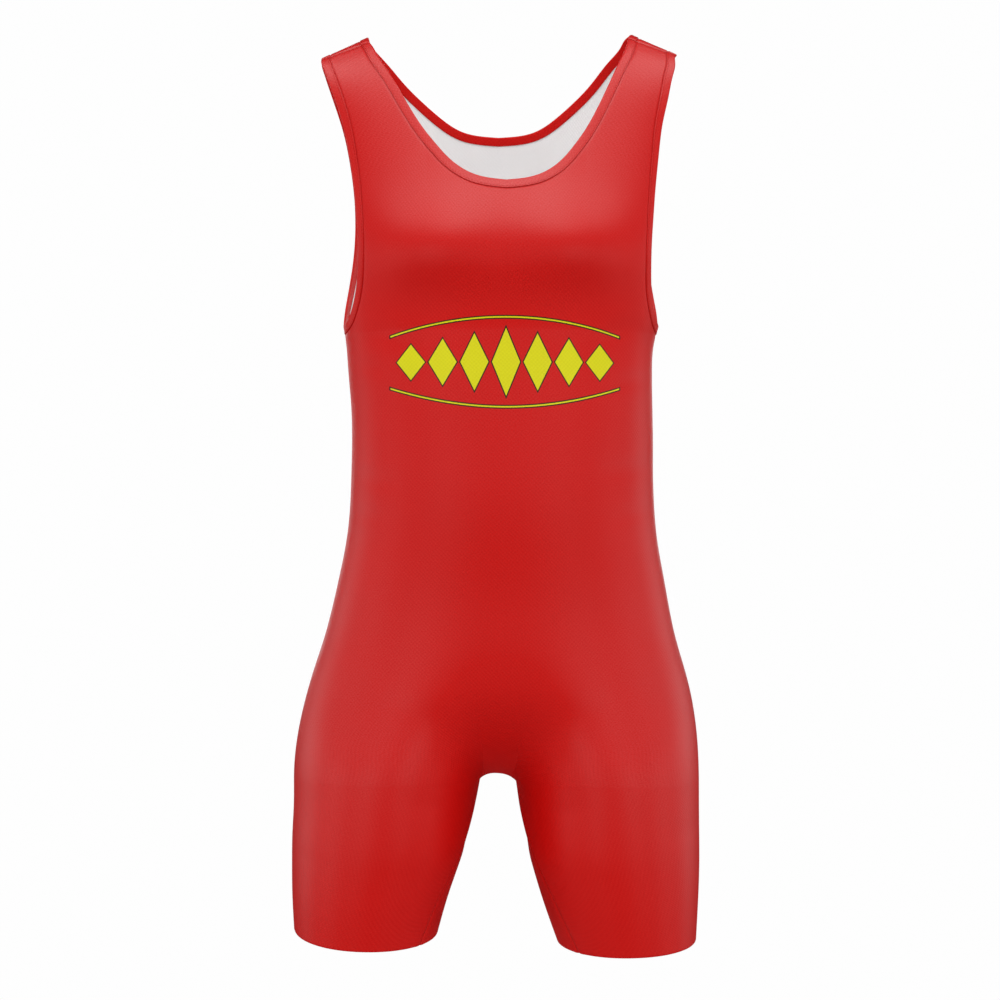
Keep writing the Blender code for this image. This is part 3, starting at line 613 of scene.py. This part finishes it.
def nearestOn(points, curve):  # distance to a polyline, and the place on it from 0 to 1
    flat = points.reshape(-1, points.shape[-1])
    starts, ways = curve[:-1], np.diff(curve, axis=0)
    lengths = np.maximum((ways ** 2).sum(-1), tiny)
    found = np.zeros((2, len(flat)))
    for begin in range(0, len(flat), chunk):
        part = flat[begin:begin + chunk, None] - starts
        along = np.clip((part * ways).sum(-1) / lengths, 0, 1)
        gap = ((part - along[..., None] * ways) ** 2).sum(-1)
        best = np.arange(len(gap)), gap.argmin(1)
        found[:, begin:begin + chunk] = np.sqrt(gap[best]), (best[1] + along[best]) / len(ways)
    return found.reshape(2, *points.shape[:-1])


def shellFaces(cells):
    # quads of the outer and inner grid, and the wall round every open side
    rowCount, columnCount = cells.shape
    number = np.arange((rowCount + 1) * (columnCount + 1)).reshape(rowCount + 1, -1)
    offset = number.size
    ring = np.stack((number[:-1, :-1], number[1:, :-1], number[1:, 1:], number[:-1, 1:]), -1)
    faces = [ring[cells], ring[cells][:, ::-1] + offset]
    padded = np.pad(cells, 1)
    shifts = ((1, 0), (2, 1), (1, 2), (0, 1))  # neighbour left, below, right, above
    for k, (down, over) in enumerate(shifts):
        open_ = cells & ~padded[down:down + rowCount, over:over + columnCount]
        a, b = ring[open_][:, k], ring[open_][:, (k + 1) % 4]
        faces.append(np.stack((b, a, a + offset, b + offset), -1))
    return faces


def tubeFaces(number):
    # quads round tubes, numbered by tube, ring and side, and across the rings at both ends
    beyond, sides = np.roll(number, -1, axis=2), number.shape[2]
    around = np.stack((number[:, :-1], number[:, 1:], beyond[:, 1:], beyond[:, :-1]), -1)
    faces = [around.reshape(-1, 4)]
    for ring, order in ((0, 1), (-1, -1)):
        for k in range(sides // 2 - 1):
            across = [k, k + 1, sides - 2 - k, sides - 1 - k]
            faces.append(number[:, ring, across][:, ::order])
    return faces


def addObject(name, data):
    made = bpy.data.objects.new(name, data)
    bpy.context.scene.collection.objects.link(made)
    return made


def makeMesh(name, points, faces, flipped=False):
    points, faces = points.reshape(-1, 3), np.concatenate(faces)
    if flipped:
        faces = faces[:, ::-1]
    used, renumbered = np.unique(faces, return_inverse=True)
    renumbered = renumbered.reshape(faces.shape)
    mesh = bpy.data.meshes.new(name)
    mesh.vertices.add(len(used))
    mesh.vertices.foreach_set("co", (points[used] * mm).astype(np.float32).ravel())
    mesh.loops.add(renumbered.size)
    mesh.loops.foreach_set("vertex_index", renumbered.astype(np.int32).ravel())
    mesh.polygons.add(len(faces))
    mesh.polygons.foreach_set("loop_start", np.arange(0, renumbered.size, 4, dtype=np.int32))
    mesh.polygons.foreach_set("use_smooth", np.ones(len(faces), bool))
    mesh.update(calc_edges=True)
    mesh.validate()
    return addObject(name, mesh), used, renumbered


def addLayer(piece, name, values):  # a value per vertex that its material reads
    layer = piece.data.attributes.new(name, "FLOAT", "POINT")
    layer.data.foreach_set("value", np.asarray(values, np.float32).ravel())


def addUv(piece, corners, uv):  # a UV map in metres that follows the cloth
    layer = piece.data.uv_layers.new(name="clothMap")
    layer.data.foreach_set("uv", (uv[corners].reshape(-1, 2) * mm).astype(np.float32).ravel())


# soft troughs (and, negative, ridges): side, start x and z, end x and z, bow, depth, width
creases = (
    (-1, -128, -268, -70, -292, 6, 0.9, 9),
    (-1, 130, -262, 82, -286, -5, 0.8, 8),
    (-1, -136, -300, -104, -306, 3, 0.5, 6),
    (-1, 138, -312, 100, -320, -3, 0.6, 7),
    (-1, -140, -396, -92, -404, -4, 0.7, 8),
    (-1, 143, -384, 86, -396, 4, 0.7, 9),
    (-1, -141, -436, -104, -440, 3, 0.5, 7),
    (-1, 146, -430, 98, -444, -4, 0.6, 7),
    (-1, -34, -648, -112, -604, -8, 0.4, 11),
    (-1, 32, -652, 104, -600, 8, 0.4, 12),
    (-1, -30, -668, -84, -664, -5, 0.3, 9),
    (-1, 28, -672, 90, -656, 6, 0.3, 10),
    (-1, -40, -700, -96, -690, 4, 0.5, 8),
    (-1, 36, -704, 82, -696, -4, 0.5, 8),
    (-1, -188, -742, -150, -750, -3, 0.4, 8),
    (-1, 184, -716, 146, -728, 3, 0.4, 8),
    (1, -134, -272, -84, -304, 7, 1.0, 9),
    (1, 132, -266, 74, -300, -7, 0.9, 10),
    (1, -128, -384, -36, -398, 6, 1.1, 9),
    (1, 132, -396, 20, -414, -6, 1.2, 10),
    (1, -110, -432, 16, -436, 5, 1.0, 9),
    (1, 118, -452, 30, -458, -5, 0.8, 9),
    (1, -20, -470, -96, -482, 4, 0.6, 8),
    (1, -26, -650, -118, -672, -12, 1.6, 11),
    (1, 24, -654, 112, -676, 12, 1.5, 11),
    (1, -34, -690, -88, -704, -6, 0.7, 8),
    (1, 32, -694, 80, -712, 6, 0.7, 8),
    (1, -78, -96, -112, -150, 6, 0.6, 9),
    (1, 84, -92, 116, -142, -6, 0.6, 9),
)
creaseSteps = 9
creaseFade = 0.8  # below 1, a crease keeps its depth nearer to its ends


def creaseRelief(points, side):
    # depth falls off as a bell across each trough and fades to nothing at both ends
    relief = np.zeros(points.shape[:-1])
    share = np.linspace(0, 1, creaseSteps)[:, None]
    for which, x0, z0, x1, z1, bow, depth, width in creases:
        if which != side:
            continue
        start, end = np.array((x0, z0)), np.array((x1, z1))
        way = end - start
        square = np.array((-way[1], way[0])) / np.hypot(*way)
        curve = start + way * share + square * bow * 4 * share * (1 - share)
        away, place = nearestOn(points[..., (0, 2)], curve)
        relief -= depth * bell(away, width) * np.sin(np.pi * place) ** creaseFade
    return relief


def clothMap(points):
    # lengths along the cloth: down from the chest row, and across from the middle, the
    # strap's inner edge or the inseam
    across = np.linalg.norm(np.diff(points, axis=1), axis=-1)
    u = np.pad(np.cumsum(across, axis=1), ((0, 0), (1, 0)))
    u -= u[:, [lineAt(columnIndex, allSteps / 2)]]
    for rowsHere, anchor, name in ((slice(0, strapRow), strapRow, "strap"),
                                   (slice(aboveLegs + 1, None), aboveLegs, "leg")):
        first, last = innerColumns[name]
        for columns, edge in ((slice(0, first + 1), first), (slice(last, None), last)):
            u[rowsHere, columns] += u[anchor, edge] - u[rowsHere, [edge]]
    way = np.diff(points, axis=0)
    down = np.linalg.norm(way, axis=-1)
    slanted = slice(strapRow, chestRow)  # these columns lean outwards
    down[slanted] = np.abs(way[slanted, :, 2])
    v = np.pad(np.cumsum(down, axis=0), ((1, 0), (0, 0)))
    return np.stack((u, v[[chestRow]] - v), -1)


def gridLines():  # where the seams, bindings and hems run on the refined grid
    straps, upper, lower, legs = (slice(0, strapRow + 1), slice(0, chestRow + 1),
                                  slice(chestRow, None), slice(legRow, None))
    (strapFirst, strapLast), (legFirst, legLast) = innerColumns["strap"], innerColumns["leg"]
    seams = [(lower, 0), (lower, -1), (0, slice(0, strapFirst + 1)), (0, slice(strapLast, None)),
             (legRow, slice(legFirst, legLast + 1)), (legs, legFirst), (legs, legLast)]
    bound = [(upper, 0), (upper, -1), (straps, strapFirst), (straps, strapLast),
             (strapRow, slice(strapFirst, strapLast + 1))]
    hemmed = [(-1, slice(0, legFirst + 1)), (-1, slice(legLast, None))]
    return seams, bound, hemmed


def glossOf(facing):  # falls below nothing where the cloth faces down
    gloss = panel["gloss"] + panel["glossRise"] * facing[..., 2]
    for _ in range(panel["glossPasses"]):
        gloss[1:-1] = (gloss[:-2] + 2 * gloss[1:-1] + gloss[2:]) / 4
    return np.minimum(gloss, panel["glossMost"])


def nearestLine(points, lines):
    return np.min([nearestOn(points, points[line])[0] for line in lines], axis=0)


def panelSurfaces():
    # outer and inner grids of both panels, with the values that their materials read
    cells = clothCells()
    seams, bound, hemmed = gridLines()
    base = {side: sampled(easedPanel(side), rowIndex, columnIndex) for side in (-1, 1)}
    normal = {-1: gridNormals(base[-1], cells), 1: -gridNormals(base[1], cells)}
    onSeam = np.zeros(base[-1].shape[:2], bool)
    for line in seams:
        onSeam[line] = True
    shared = unit(normal[-1] + normal[1])
    made = {}
    for side in (-1, 1):
        points = base[side]
        facing = np.where(onSeam[..., None], shared, normal[side])
        seam, edge, hem = (nearestLine(points, lines) for lines in (seams, bound, hemmed))
        ditch = panel["seamDitch"] * bell(seam, panel["seamSpread"])
        hemRound = panel["hemRound"] * bell(hem, panel["hemRound"])
        relief = -np.maximum(ditch, binding["ditch"] * bell(edge, panel["seamSpread"]))
        relief += panel["seamRidge"] * bell(seam - panel["ridgeAway"], panel["ridgeSpread"])
        relief -= hemRound
        clear = np.minimum(np.minimum(seam, edge), hem) / panel["creaseClear"]
        fold = creaseRelief(points, side) * smoothStep(clear)
        thick = panel["wall"] - ditch - hemRound * panel["hemRoundInside"]
        thick += panel["allowance"] * np.exp(-(seam / panel["allowanceWidth"]) ** 4)
        thick += panel["hemThick"] * smoothStep(panel["hemTurn"] + panel["hemStep"] - hem)
        made[side] = {
            "cells": cells,
            "outer": points + facing * (fold + relief)[..., None],
            "inner": points + facing * (fold - thick)[..., None],
            # where the colour takes the painted shade of the seams' and bindings' ditches
            "nearSeam": bell(np.minimum(seam, edge), panel["seamShadow"]),
            "turned": smoothStep((panel["hemTurn"] - hem) / panel["hemStep"]),
            "gloss": glossOf(facing),
            "map": clothMap(points),
        }
    return made


def makePanel(name, surface, side):
    cells = surface["cells"]
    points = np.concatenate((surface["outer"].reshape(-1, 3), surface["inner"].reshape(-1, 3)))
    faces = shellFaces(cells)
    piece, used, corners = makeMesh(name, points, faces, flipped=side > 0)
    for key in ("nearSeam", "turned", "gloss"):
        addLayer(piece, key, np.tile(surface[key].ravel(), 2)[used])
    addUv(piece, corners, np.tile(surface["map"].reshape(-1, 2), (2, 1))[used])
    inside = np.zeros(sum(len(f) for f in faces), np.int32)
    inside[len(faces[0]):len(faces[0]) + len(faces[1])] = 1
    piece.data.polygons.foreach_set("material_index", inside)
    return piece


def unevenness(along, seed):  # slow waves of unlike lengths, from -1 to 1
    waves = ((31.0, 0.45, 1.7), (13.7, 0.3, 2.7), (7.9, 0.25, 3.7))  # length, weight, shift
    return sum(weight * np.sin(along * 2 * np.pi / length + seed * shift)
               for length, weight, shift in waves)


def bindingHeight(fromFree):
    # height of the strip's faces from its middle: a quarter round at the fold, flat, a
    # shallow dimple under the stitches, and a smaller round at the sewn edge
    width = binding["width"]
    half = panel["solidWall"] / 2 + binding["proud"]
    fold = np.clip(1 - fromFree / binding["freeRound"], 0, 1)
    sewn = np.clip(1 - (width - fromFree) / binding["sewnRound"], 0, 1)
    height = np.sqrt(1 - fold ** 2) * half
    height -= (1 - np.sqrt(1 - sewn ** 2)) * (half - binding["sewnHeight"])
    away = width - binding["dimpleAway"] - fromFree
    return height - binding["dimple"] * bell(away, binding["dimpleSpread"])


def surfaceAlong(free, stitched, fromFree):
    # outer points and outward normals of the body at distances in from a free edge
    share = (fromFree / binding["width"])[:, None]
    angle = free[0] + (stitched[0] - free[0]) * share
    path = free[1] + (stitched[1] - free[1]) * share
    points = bodyPoint(angle, path)
    normals = unit(np.cross(*slopes(angle, path)))
    normals *= np.sign(np.sum(normals * points * (1, 1, 0), axis=-1).sum())
    return points, normals


def makeBinding(name, edges, seed):
    turn = np.linspace(0, np.pi / 2, binding["steps"] // 3)
    fold = binding["freeRound"] * (1 - np.cos(turn))
    sewn = binding["width"] - binding["sewnRound"] * (1 - np.cos(turn[::-1]))
    flat = np.linspace(fold[-1], sewn[0], binding["steps"] // 2)[1:-1]
    fromFree = np.concatenate((fold, flat, sewn))
    points, normals = surfaceAlong(*edges, fromFree)
    along = lengthAlong(points[0])
    fromEnd = np.minimum(along, along[-1] - along)
    sunk = 1 - binding["endSunk"] * bell(fromEnd, binding["endSpread"])
    bulge = np.sin(np.pi * fromFree / binding["width"])[:, None]
    height = bindingHeight(fromFree)[:, None] * sunk
    height += binding["pucker"] * unevenness(along, seed) * bulge
    height = np.maximum(height, binding["least"])
    middle = points - normals * panel["solidWall"] / 2
    top, under = middle + normals * height[..., None], middle - normals * height[..., None]
    loop = np.concatenate((top, under[::-1][1:]))  # round the strip, from fold to fold
    loop[0] = loop[-1] = middle[0]
    rings, count = loop.shape[:2]
    number = np.arange(rings * count).reshape(rings, count)[:-1]
    outward = np.sum(np.cross(loop[2, 1] - loop[2, 0], loop[3, 0] - loop[2, 0]) * normals[2, 0])
    faces = np.concatenate(tubeFaces(number.T[None]))[:, (0, 3, 2, 1)]  # wound as the loop is
    piece, used, corners = makeMesh(name, loop, [faces], flipped=outward > 0)
    around = np.concatenate((fromFree, 2 * binding["width"] - fromFree[::-1][1:]))
    uv = np.stack(np.broadcast_arrays(along, around[:, None]), -1).reshape(-1, 2)
    addUv(piece, corners, uv[used])
    # painted shade in the ditch beside the sewn edge
    fromSewn = binding["width"] - np.minimum(around, 2 * binding["width"] - around)
    near = bell(fromSewn, binding["shadow"])
    addLayer(piece, "nearSeam", np.repeat(near, count)[used])
    facing = np.concatenate((glossOf(normals), glossOf(-normals)[::-1][1:]))
    addLayer(piece, "gloss", facing.ravel()[used])
    return piece


stitching = {
    "pitch": 2.9,  # from one stitch to the next
    "length": 2.3,
    "thread": 0.2,  # thread radius
    "rings": 6,
    "sides": 6,
    "sunk": 0.07,  # how far the thread lies in the strip
    "bow": 0.8,  # its rise in the middle, in thread radii
    "blunt": 0.02,  # share of its thickness left at the tips, squared
}


def makeStitches(name, edges, inner=False):
    # short bowed threads end to end along the line where the binding is stitched
    fromFree = np.array([binding["width"] - binding["dimpleAway"]])
    points, normals = surfaceAlong(*edges, fromFree)
    points, normals = points[0], normals[0]
    height = bindingHeight(fromFree)[0] - stitching["sunk"]
    hand = -1 if inner else 1
    points = points - normals * panel["solidWall"] / 2 + normals * height * hand
    along = lengthAlong(points)
    starts = np.arange(stitching["pitch"] / 2, along[-1] - stitching["length"], stitching["pitch"])
    share = np.linspace(0, 1, stitching["rings"])
    place = starts[:, None] + stitching["length"] * share
    line, up = (np.stack([np.interp(place, along, each[:, k]) for k in range(3)], -1)
                for each in (points, normals))
    up = unit(up) * hand
    beside = np.cross(unit(np.gradient(line, axis=1)), up)
    tips = np.maximum(1 - (2 * share - 1) ** 4, stitching["blunt"])
    radius = stitching["thread"] * np.sqrt(tips)
    bow = stitching["thread"] * stitching["bow"] * np.sin(np.pi * share)
    turn = np.arange(stitching["sides"]) * 2 * np.pi / stitching["sides"]
    ring = (beside[:, :, None] * np.cos(turn)[:, None] + up[:, :, None] * np.sin(turn)[:, None])
    solid = line[:, :, None] + up[:, :, None] * bow[:, None, None] + ring * radius[:, None, None]
    number = np.arange(solid[..., 0].size).reshape(solid.shape[:3])
    return makeMesh(name, solid, tubeFaces(number))[0]


class Value:
    # wraps a node's socket, so that maths on it adds Math nodes
    def __init__(self, tree, socket):
        self.tree, self.socket = tree, socket

    def math(self, operation, *others):
        return addNode(self.tree, "Math", {"operation": operation}, (self, *others))

    def __rsub__(self, other):
        return addNode(self.tree, "Math", {"operation": "SUBTRACT"}, (other, self))

    def clamped(self, low=0.0, high=1.0):
        return self.math("MAXIMUM", low).math("MINIMUM", high)

    __add__ = __radd__ = partialmethod(math, "ADD")
    __mul__ = __rmul__ = partialmethod(math, "MULTIPLY")
    __sub__ = partialmethod(math, "SUBTRACT")
    __truediv__ = partialmethod(math, "DIVIDE")
    __neg__ = partialmethod(math, "MULTIPLY", -1.0)
    __abs__ = partialmethod(math, "ABSOLUTE")


def addNode(tree, kind, settings, values, output=0):
    # settings come first, then each input gets its value or its link, by name or in order
    node = tree.nodes.new("ShaderNode" + kind)
    for name, setting in settings.items():
        setattr(node, name, setting)
    pairs = values.items() if isinstance(values, dict) else enumerate(values)
    for key, value in pairs:
        if isinstance(value, Value):
            tree.links.new(value.socket, node.inputs[key])
        elif value is not None:
            node.inputs[key].default_value = value
    return Value(tree, node.outputs[output] if len(node.outputs) else None)


def mixColour(tree, factor, first, second, blend="MIX"):
    # a Mix node for colours: inputs 0, 6 and 7 are its factor and its two colours
    settings = {"data_type": "RGBA", "blend_type": blend}
    return addNode(tree, "Mix", settings, {0: factor, 6: first, 7: second}, output=2)


knit = {
    "pitch": 0.0037,  # of the fine diagonal dots
    "dotTone": 0.030,  # how much lighter and darker they are
    "fuzzTone": 0.06,  # the same for the fibres' fuzz
    "blotch": 0.06,  # slow change of tone over a hand's width
    "blotchScale": 11.0,
    "blotchRough": 0.45,
    "sparkle": 0.35,  # how much paler the fibres' tips are in the dots
    "fuzzSparkle": 6.0,
    "fuzzScale": 900.0,
    "detail": 2.0,  # of both noises
    "height": 0.00008,
    "seamShade": 0.14,  # painted shade in a seam's ditch: how much darker its line is
}
red = (0.72, 0.0035, 0.0026, 1.0)
redBinding = (0.72, 0.0040, 0.0030, 1.0)
redThread = (0.58, 0.0035, 0.0028, 1.0)
offWhite = (0.93, 0.93, 0.93, 1.0)
satin = {
    "roughness": 0.48,
    "dulled": 0.35,  # added as the gloss falls below nothing
    "dotGloss": 0.1,  # how much the dots and the fuzz change the gloss
    "fuzzGloss": 2.0,
    "fuzzRough": 0.12,
    "slowRough": 0.08,
    "dotHeight": 0.6,
    "bump": 0.9,
    "sockets": {"Specular IOR Level": 0.2, "Specular Tint": (1.0, 0.97, 0.88, 1.0),
                "Coat Roughness": 0.48, "Coat IOR": 1.7},
}
matt = {
    "roughness": 0.75,
    "dotTone": 0.03,
    "fuzzTone": 0.05,
    # painted shade along the seams on the inner face
    "seamShade": 0.25,
    "fuzzHeight": 0.6,
    "bump": 0.8,
    "sockets": {"Specular IOR Level": 0.2, "Emission Strength": 0.1},  # painted light: the off-white inner face glows a little, which brightens it
}
twists = {"scale": 2600.0, "darkest": 0.85, "tone": 0.3, "bump": 0.5}  # in the thread


def knitPattern(tree):
    # fine dots in diagonal rows: the product of a sine wave across and one along the cloth
    place = addNode(tree, "UVMap", {"uv_map": "clothMap"}, ())
    u = addNode(tree, "SeparateXYZ", {}, (place,))
    v = Value(tree, u.socket.node.outputs[1])
    turns = 2 * np.pi / knit["pitch"]
    dots = (u * turns).math("SINE") * (v * turns).math("SINE")
    fuzz = addNode(tree, "TexNoise", {},
                   {"Vector": place, "Scale": knit["fuzzScale"], "Detail": knit["detail"]})
    return dots, fuzz - 0.5


def blotches(tree):
    place = addNode(tree, "TexCoord", {}, (), output=3)
    slow = addNode(tree, "TexNoise", {},
                   {"Vector": place, "Scale": knit["blotchScale"], "Detail": knit["detail"],
                    "Roughness": knit["blotchRough"]})
    return place, slow - 0.5


printed = {
    "x": 0.0025,  # centre of the band on the chest, and its height
    "z": -0.297,
    "pitch": 0.0285,  # from one lozenge to the next
    "reach": 3.0,  # lozenges on each side of the middle one
    "width": 0.0255,
    "height": 0.062,  # of the middle one
    "shrink": 0.0098,  # each next one is lower by this
    "outline": 0.0011,
    "line": 0.0016,  # the fine lines above and below
    "lineAway": 0.0405,
    "lineBend": 0.55,  # they follow the lozenges' fall towards both ends
    "lineHalf": 0.104,
    "slant": 0.9,  # distances count square to the lozenges' slanting sides
    "crisp": 4200.0,  # how sharp the ink's edge is, per metre
    "frontEdge": 400.0,  # the same for the line between front and back
    "ink": (0.84, 0.80, 0.004, 1.0),
    "outlineInk": (0.030, 0.014, 0.006, 1.0),
}


def printedBand(tree, place):
    # a row of lozenges, tallest in the middle, between two fine lines that close in on it;
    # gives the ink's cover and its dark outline's
    x = addNode(tree, "SeparateXYZ", {}, (place,))
    y, z = (Value(tree, x.socket.node.outputs[k]) for k in (1, 2))
    facing = (-y * printed["frontEdge"]).clamped()
    x, z = x - printed["x"], z - printed["z"]
    number = (x / printed["pitch"]).math("ROUND").clamped(-printed["reach"], printed["reach"])
    across = abs(x - number * printed["pitch"])
    halfHeight = printed["height"] / 2 - abs(number) * (printed["shrink"] / 2)
    halfWidth = printed["width"] / 2
    inside = (1 - across / halfWidth - abs(z) / halfHeight) * halfWidth * printed["slant"]
    away = abs(x)
    level = printed["lineAway"] - away * away * (printed["lineBend"] * printed["height"]
                                                 / printed["lineHalf"] ** 2 / 2)
    fromLine = printed["line"] / 2 - abs(abs(z) - level)
    fromLine = fromLine.math("MINIMUM", printed["lineHalf"] - away)
    deepest = inside.math("MAXIMUM", fromLine)
    ink = (deepest * printed["crisp"]).clamped() * facing
    dark = ((deepest + printed["outline"]) * printed["crisp"]).clamped() * facing
    return ink, dark


def layerValue(tree, name):
    return addNode(tree, "Attribute", {"attribute_name": name}, (), output=2)


def toned(tree, colour, *tones):  # multiplies a colour by one tone, or by three
    shade = addNode(tree, "CombineXYZ", {}, tones * (3 // len(tones)))
    return mixColour(tree, 1.0, colour, shade, blend="MULTIPLY")


def newMaterial(name):
    material = bpy.data.materials.new(name)
    material.use_nodes = True
    tree = material.node_tree
    tree.nodes.clear()
    return material, tree


def finishMaterial(tree, finish, colour, roughness, height, strength, gloss=None):
    bump = addNode(tree, "Bump", {},
                   {"Strength": strength, "Distance": knit["height"], "Height": height})
    values = {**finish["sockets"], "Base Color": colour, "Normal": bump}
    values["Roughness"] = finish["roughness"] if roughness is None else roughness
    values["Coat Weight"] = gloss
    # painted light: a finish that glows gives off its own colour
    if "Emission Strength" in finish["sockets"]:
        values["Emission Color"] = colour
    shader = addNode(tree, "BsdfPrincipled", {}, values)
    addNode(tree, "OutputMaterial", {}, (shader,))


def clothOutside(name, base, withPrint=False):
    material, tree = newMaterial(name)
    dots, fuzz = knitPattern(tree)
    place, slow = blotches(tree)
    sparkle = (1 + dots * knit["sparkle"] + fuzz * knit["fuzzSparkle"]).math("MAXIMUM", 0.0)
    colour = toned(tree, base, 1.0, sparkle, sparkle)
    if withPrint:
        ink, dark = printedBand(tree, place)
        colour = mixColour(tree, dark, colour, printed["outlineInk"])
        colour = mixColour(tree, ink, colour, printed["ink"])
    # painted shade: the colour darkens in the ditches along the seams and bindings
    near = layerValue(tree, "nearSeam")
    tone = 1 + dots * knit["dotTone"] + fuzz * knit["fuzzTone"] + slow * knit["blotch"]
    colour = toned(tree, colour, tone * (1 - near * knit["seamShade"]))
    gloss = layerValue(tree, "gloss")
    dulled = (-gloss).clamped() * satin["dulled"]
    gloss = (gloss * (1 + dots * satin["dotGloss"] + fuzz * satin["fuzzGloss"])).clamped()
    rough = satin["roughness"] + dulled + fuzz * satin["fuzzRough"] + slow * satin["slowRough"]
    finishMaterial(tree, satin, colour, rough, dots * satin["dotHeight"] + fuzz,
                   satin["bump"], gloss)
    return material


def clothInside(name):
    # the print doesn't reach the inner face; the turned-up hem shows its outer face
    material, tree = newMaterial(name)
    dots, fuzz = knitPattern(tree)
    turned, near = layerValue(tree, "turned"), layerValue(tree, "nearSeam")
    tone = 1 + dots * matt["dotTone"] + fuzz * matt["fuzzTone"]
    colour = mixColour(tree, turned, offWhite, red)
    # painted shade: the inner face darkens along the seams
    colour = toned(tree, colour, tone * (1 - near * matt["seamShade"]))
    finishMaterial(tree, matt, colour, None, dots + fuzz * matt["fuzzHeight"], matt["bump"])
    return material


def threadMaterial(name):
    material, tree = newMaterial(name)
    place = addNode(tree, "TexCoord", {}, (), output=3)
    twist = addNode(tree, "TexNoise", {}, {"Vector": place, "Scale": twists["scale"]})
    colour = toned(tree, redThread, twists["darkest"] + twist * twists["tone"])
    finishMaterial(tree, satin, colour, None, twist, twists["bump"])
    return material


surfaces = panelSurfaces()
insideCloth = clothInside("insideKnit")
bindingCloth = clothOutside("bindingKnit", redBinding)
thread = threadMaterial("redThread")

for side, label in ((-1, "front"), (1, "back")):
    piece = makePanel(label + "Panel", surfaces[side], side)
    outside = clothOutside(label + "Knit", red, withPrint=side < 0)
    piece.data.materials.append(outside)
    piece.data.materials.append(insideCloth)
    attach(piece, "root")
    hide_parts(label + "_panel")
    print(label + " panel:", len(piece.data.polygons), "faces, worn area",
          round(sum(p.area for p in piece.data.polygons) / 2, 4))

    edgesOf = {"neckBinding": ("neck_binding_" + label, neckEdges(side))}
    for hand, handName in ((-1, "Left"), (1, "Right")):
        edgesOf["armholeBinding" + handName] = (
            "armhole_binding_" + handName.lower() + "_" + label,
            armholeEdges(side, hand))
    for seed, (kind, (node, edges)) in enumerate(edgesOf.items()):
        strip = makeBinding(kind + label.capitalize(), edges,
                            seed * binding["seedStep"] + side)
        strip.data.materials.append(bindingCloth)
        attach(strip, "root")
        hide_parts(node)
        for inner, face in ((False, "Outer"), (True, "Inner")):
            row = makeStitches(kind + label.capitalize() + "Stitches" + face, edges, inner)
            row.data.materials.append(thread)
            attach(row, "root")
    print(label + " bindings and stitches")


studio = {
    "floorDrop": 1.43,
    "floorRadius": 1.1,
    "floorSides": 64,
    "floorColour": (0.55, 0.55, 0.55, 1.0),
    "floorRough": 0.8,
    "backdrop": 0.99,
    "world": 0.03,
}

# degrees round from the front and up, distance, height aimed at, size and power; each lamp
# has a twin on the other side
lamps = {
    "front": (25.0, -2.0, 2.8, -0.82, 1.3, 13.8),
    "side": (68.0, -4.0, 2.5, -0.7, 1.5, 11.5),
    "rearSide": (112.0, 0.0, 2.5, -0.6, 1.5, 9.0),
    "crown": (8.0, 52.0, 2.3, -0.45, 0.9, 7.0),
    "highFront": (38.0, 50.0, 2.3, -0.45, 1.0, 3.8),
    "highSide": (75.0, 50.0, 2.3, -0.45, 1.2, 9.5),
    "back": (165.0, 15.0, 2.6, -0.5, 1.6, 13.0),
}


def makeFloor():
    turn = np.linspace(0, 2 * np.pi, studio["floorSides"] + 1)[:-1]
    rim = np.stack((np.cos(turn), np.sin(turn), np.zeros(len(turn))), -1) * studio["floorRadius"]
    rim[:, 2] = -studio["floorDrop"]
    mesh = bpy.data.meshes.new("floor")
    mesh.from_pydata(rim.tolist(), [], [list(range(len(turn)))])
    floor = addObject("floor", mesh)
    material, tree = newMaterial("paleFloor")
    shader = addNode(tree, "BsdfPrincipled", {},
                     {"Base Color": studio["floorColour"], "Roughness": studio["floorRough"]})
    addNode(tree, "OutputMaterial", {}, (shader,))
    mesh.materials.append(material)


def makeLamp(name, hand):
    round_, up, distance, height, size, power = lamps[name]
    round_, up = np.radians(hand * round_), np.radians(up)
    toLamp = Vector((np.sin(round_) * np.cos(up), -np.cos(round_) * np.cos(up), np.sin(up)))
    lamp = bpy.data.lights.new(name, "AREA")
    lamp.shape, lamp.size, lamp.energy = "DISK", size, power
    light = addObject(name, lamp)
    light.location = Vector((0.0, 0.0, height)) + toLamp * distance
    light.visible_camera = False
    light.rotation_euler = (-toLamp).to_track_quat("-Z", "Y").to_euler()


def makeWorld():
    world = bpy.data.worlds.new("paleStudio")
    world.use_nodes = True
    tree = world.node_tree
    background = tree.nodes["Background"]
    background.inputs["Color"].default_value = (1.0, 1.0, 1.0, 1.0)
    seen = addNode(tree, "LightPath", {}, ())  # 1 where the camera looks straight at it
    strength = studio["world"] + seen * (studio["backdrop"] - studio["world"])
    tree.links.new(strength.socket, background.inputs["Strength"])
    bpy.context.scene.world = world


view = {
    "azimuth": -2.1,  # degrees, to the viewer's left
    "distance": 2.8,  # from the plane y = 0
    "height": -0.4213,
    "x": 0.0004,
    "lens": 108.4,
    "sensor": 36.0,
}


def makeCamera():
    turn = np.radians(view["azimuth"])
    camera = addObject("camera", bpy.data.cameras.new("camera"))
    camera.data.lens, camera.data.sensor_width = view["lens"], view["sensor"]
    camera.location = (view["x"] + view["distance"] * np.sin(turn),
                       -view["distance"] * np.cos(turn), view["height"])
    camera.rotation_euler = (np.pi / 2, 0.0, turn)
    bpy.context.scene.camera = camera


makeFloor()
makeWorld()
for lampName in lamps:
    for hand in (-1, 1):
        makeLamp(lampName, hand)
makeCamera()
bpy.context.scene.view_settings.view_transform = "Standard"
print("floor, light and camera")
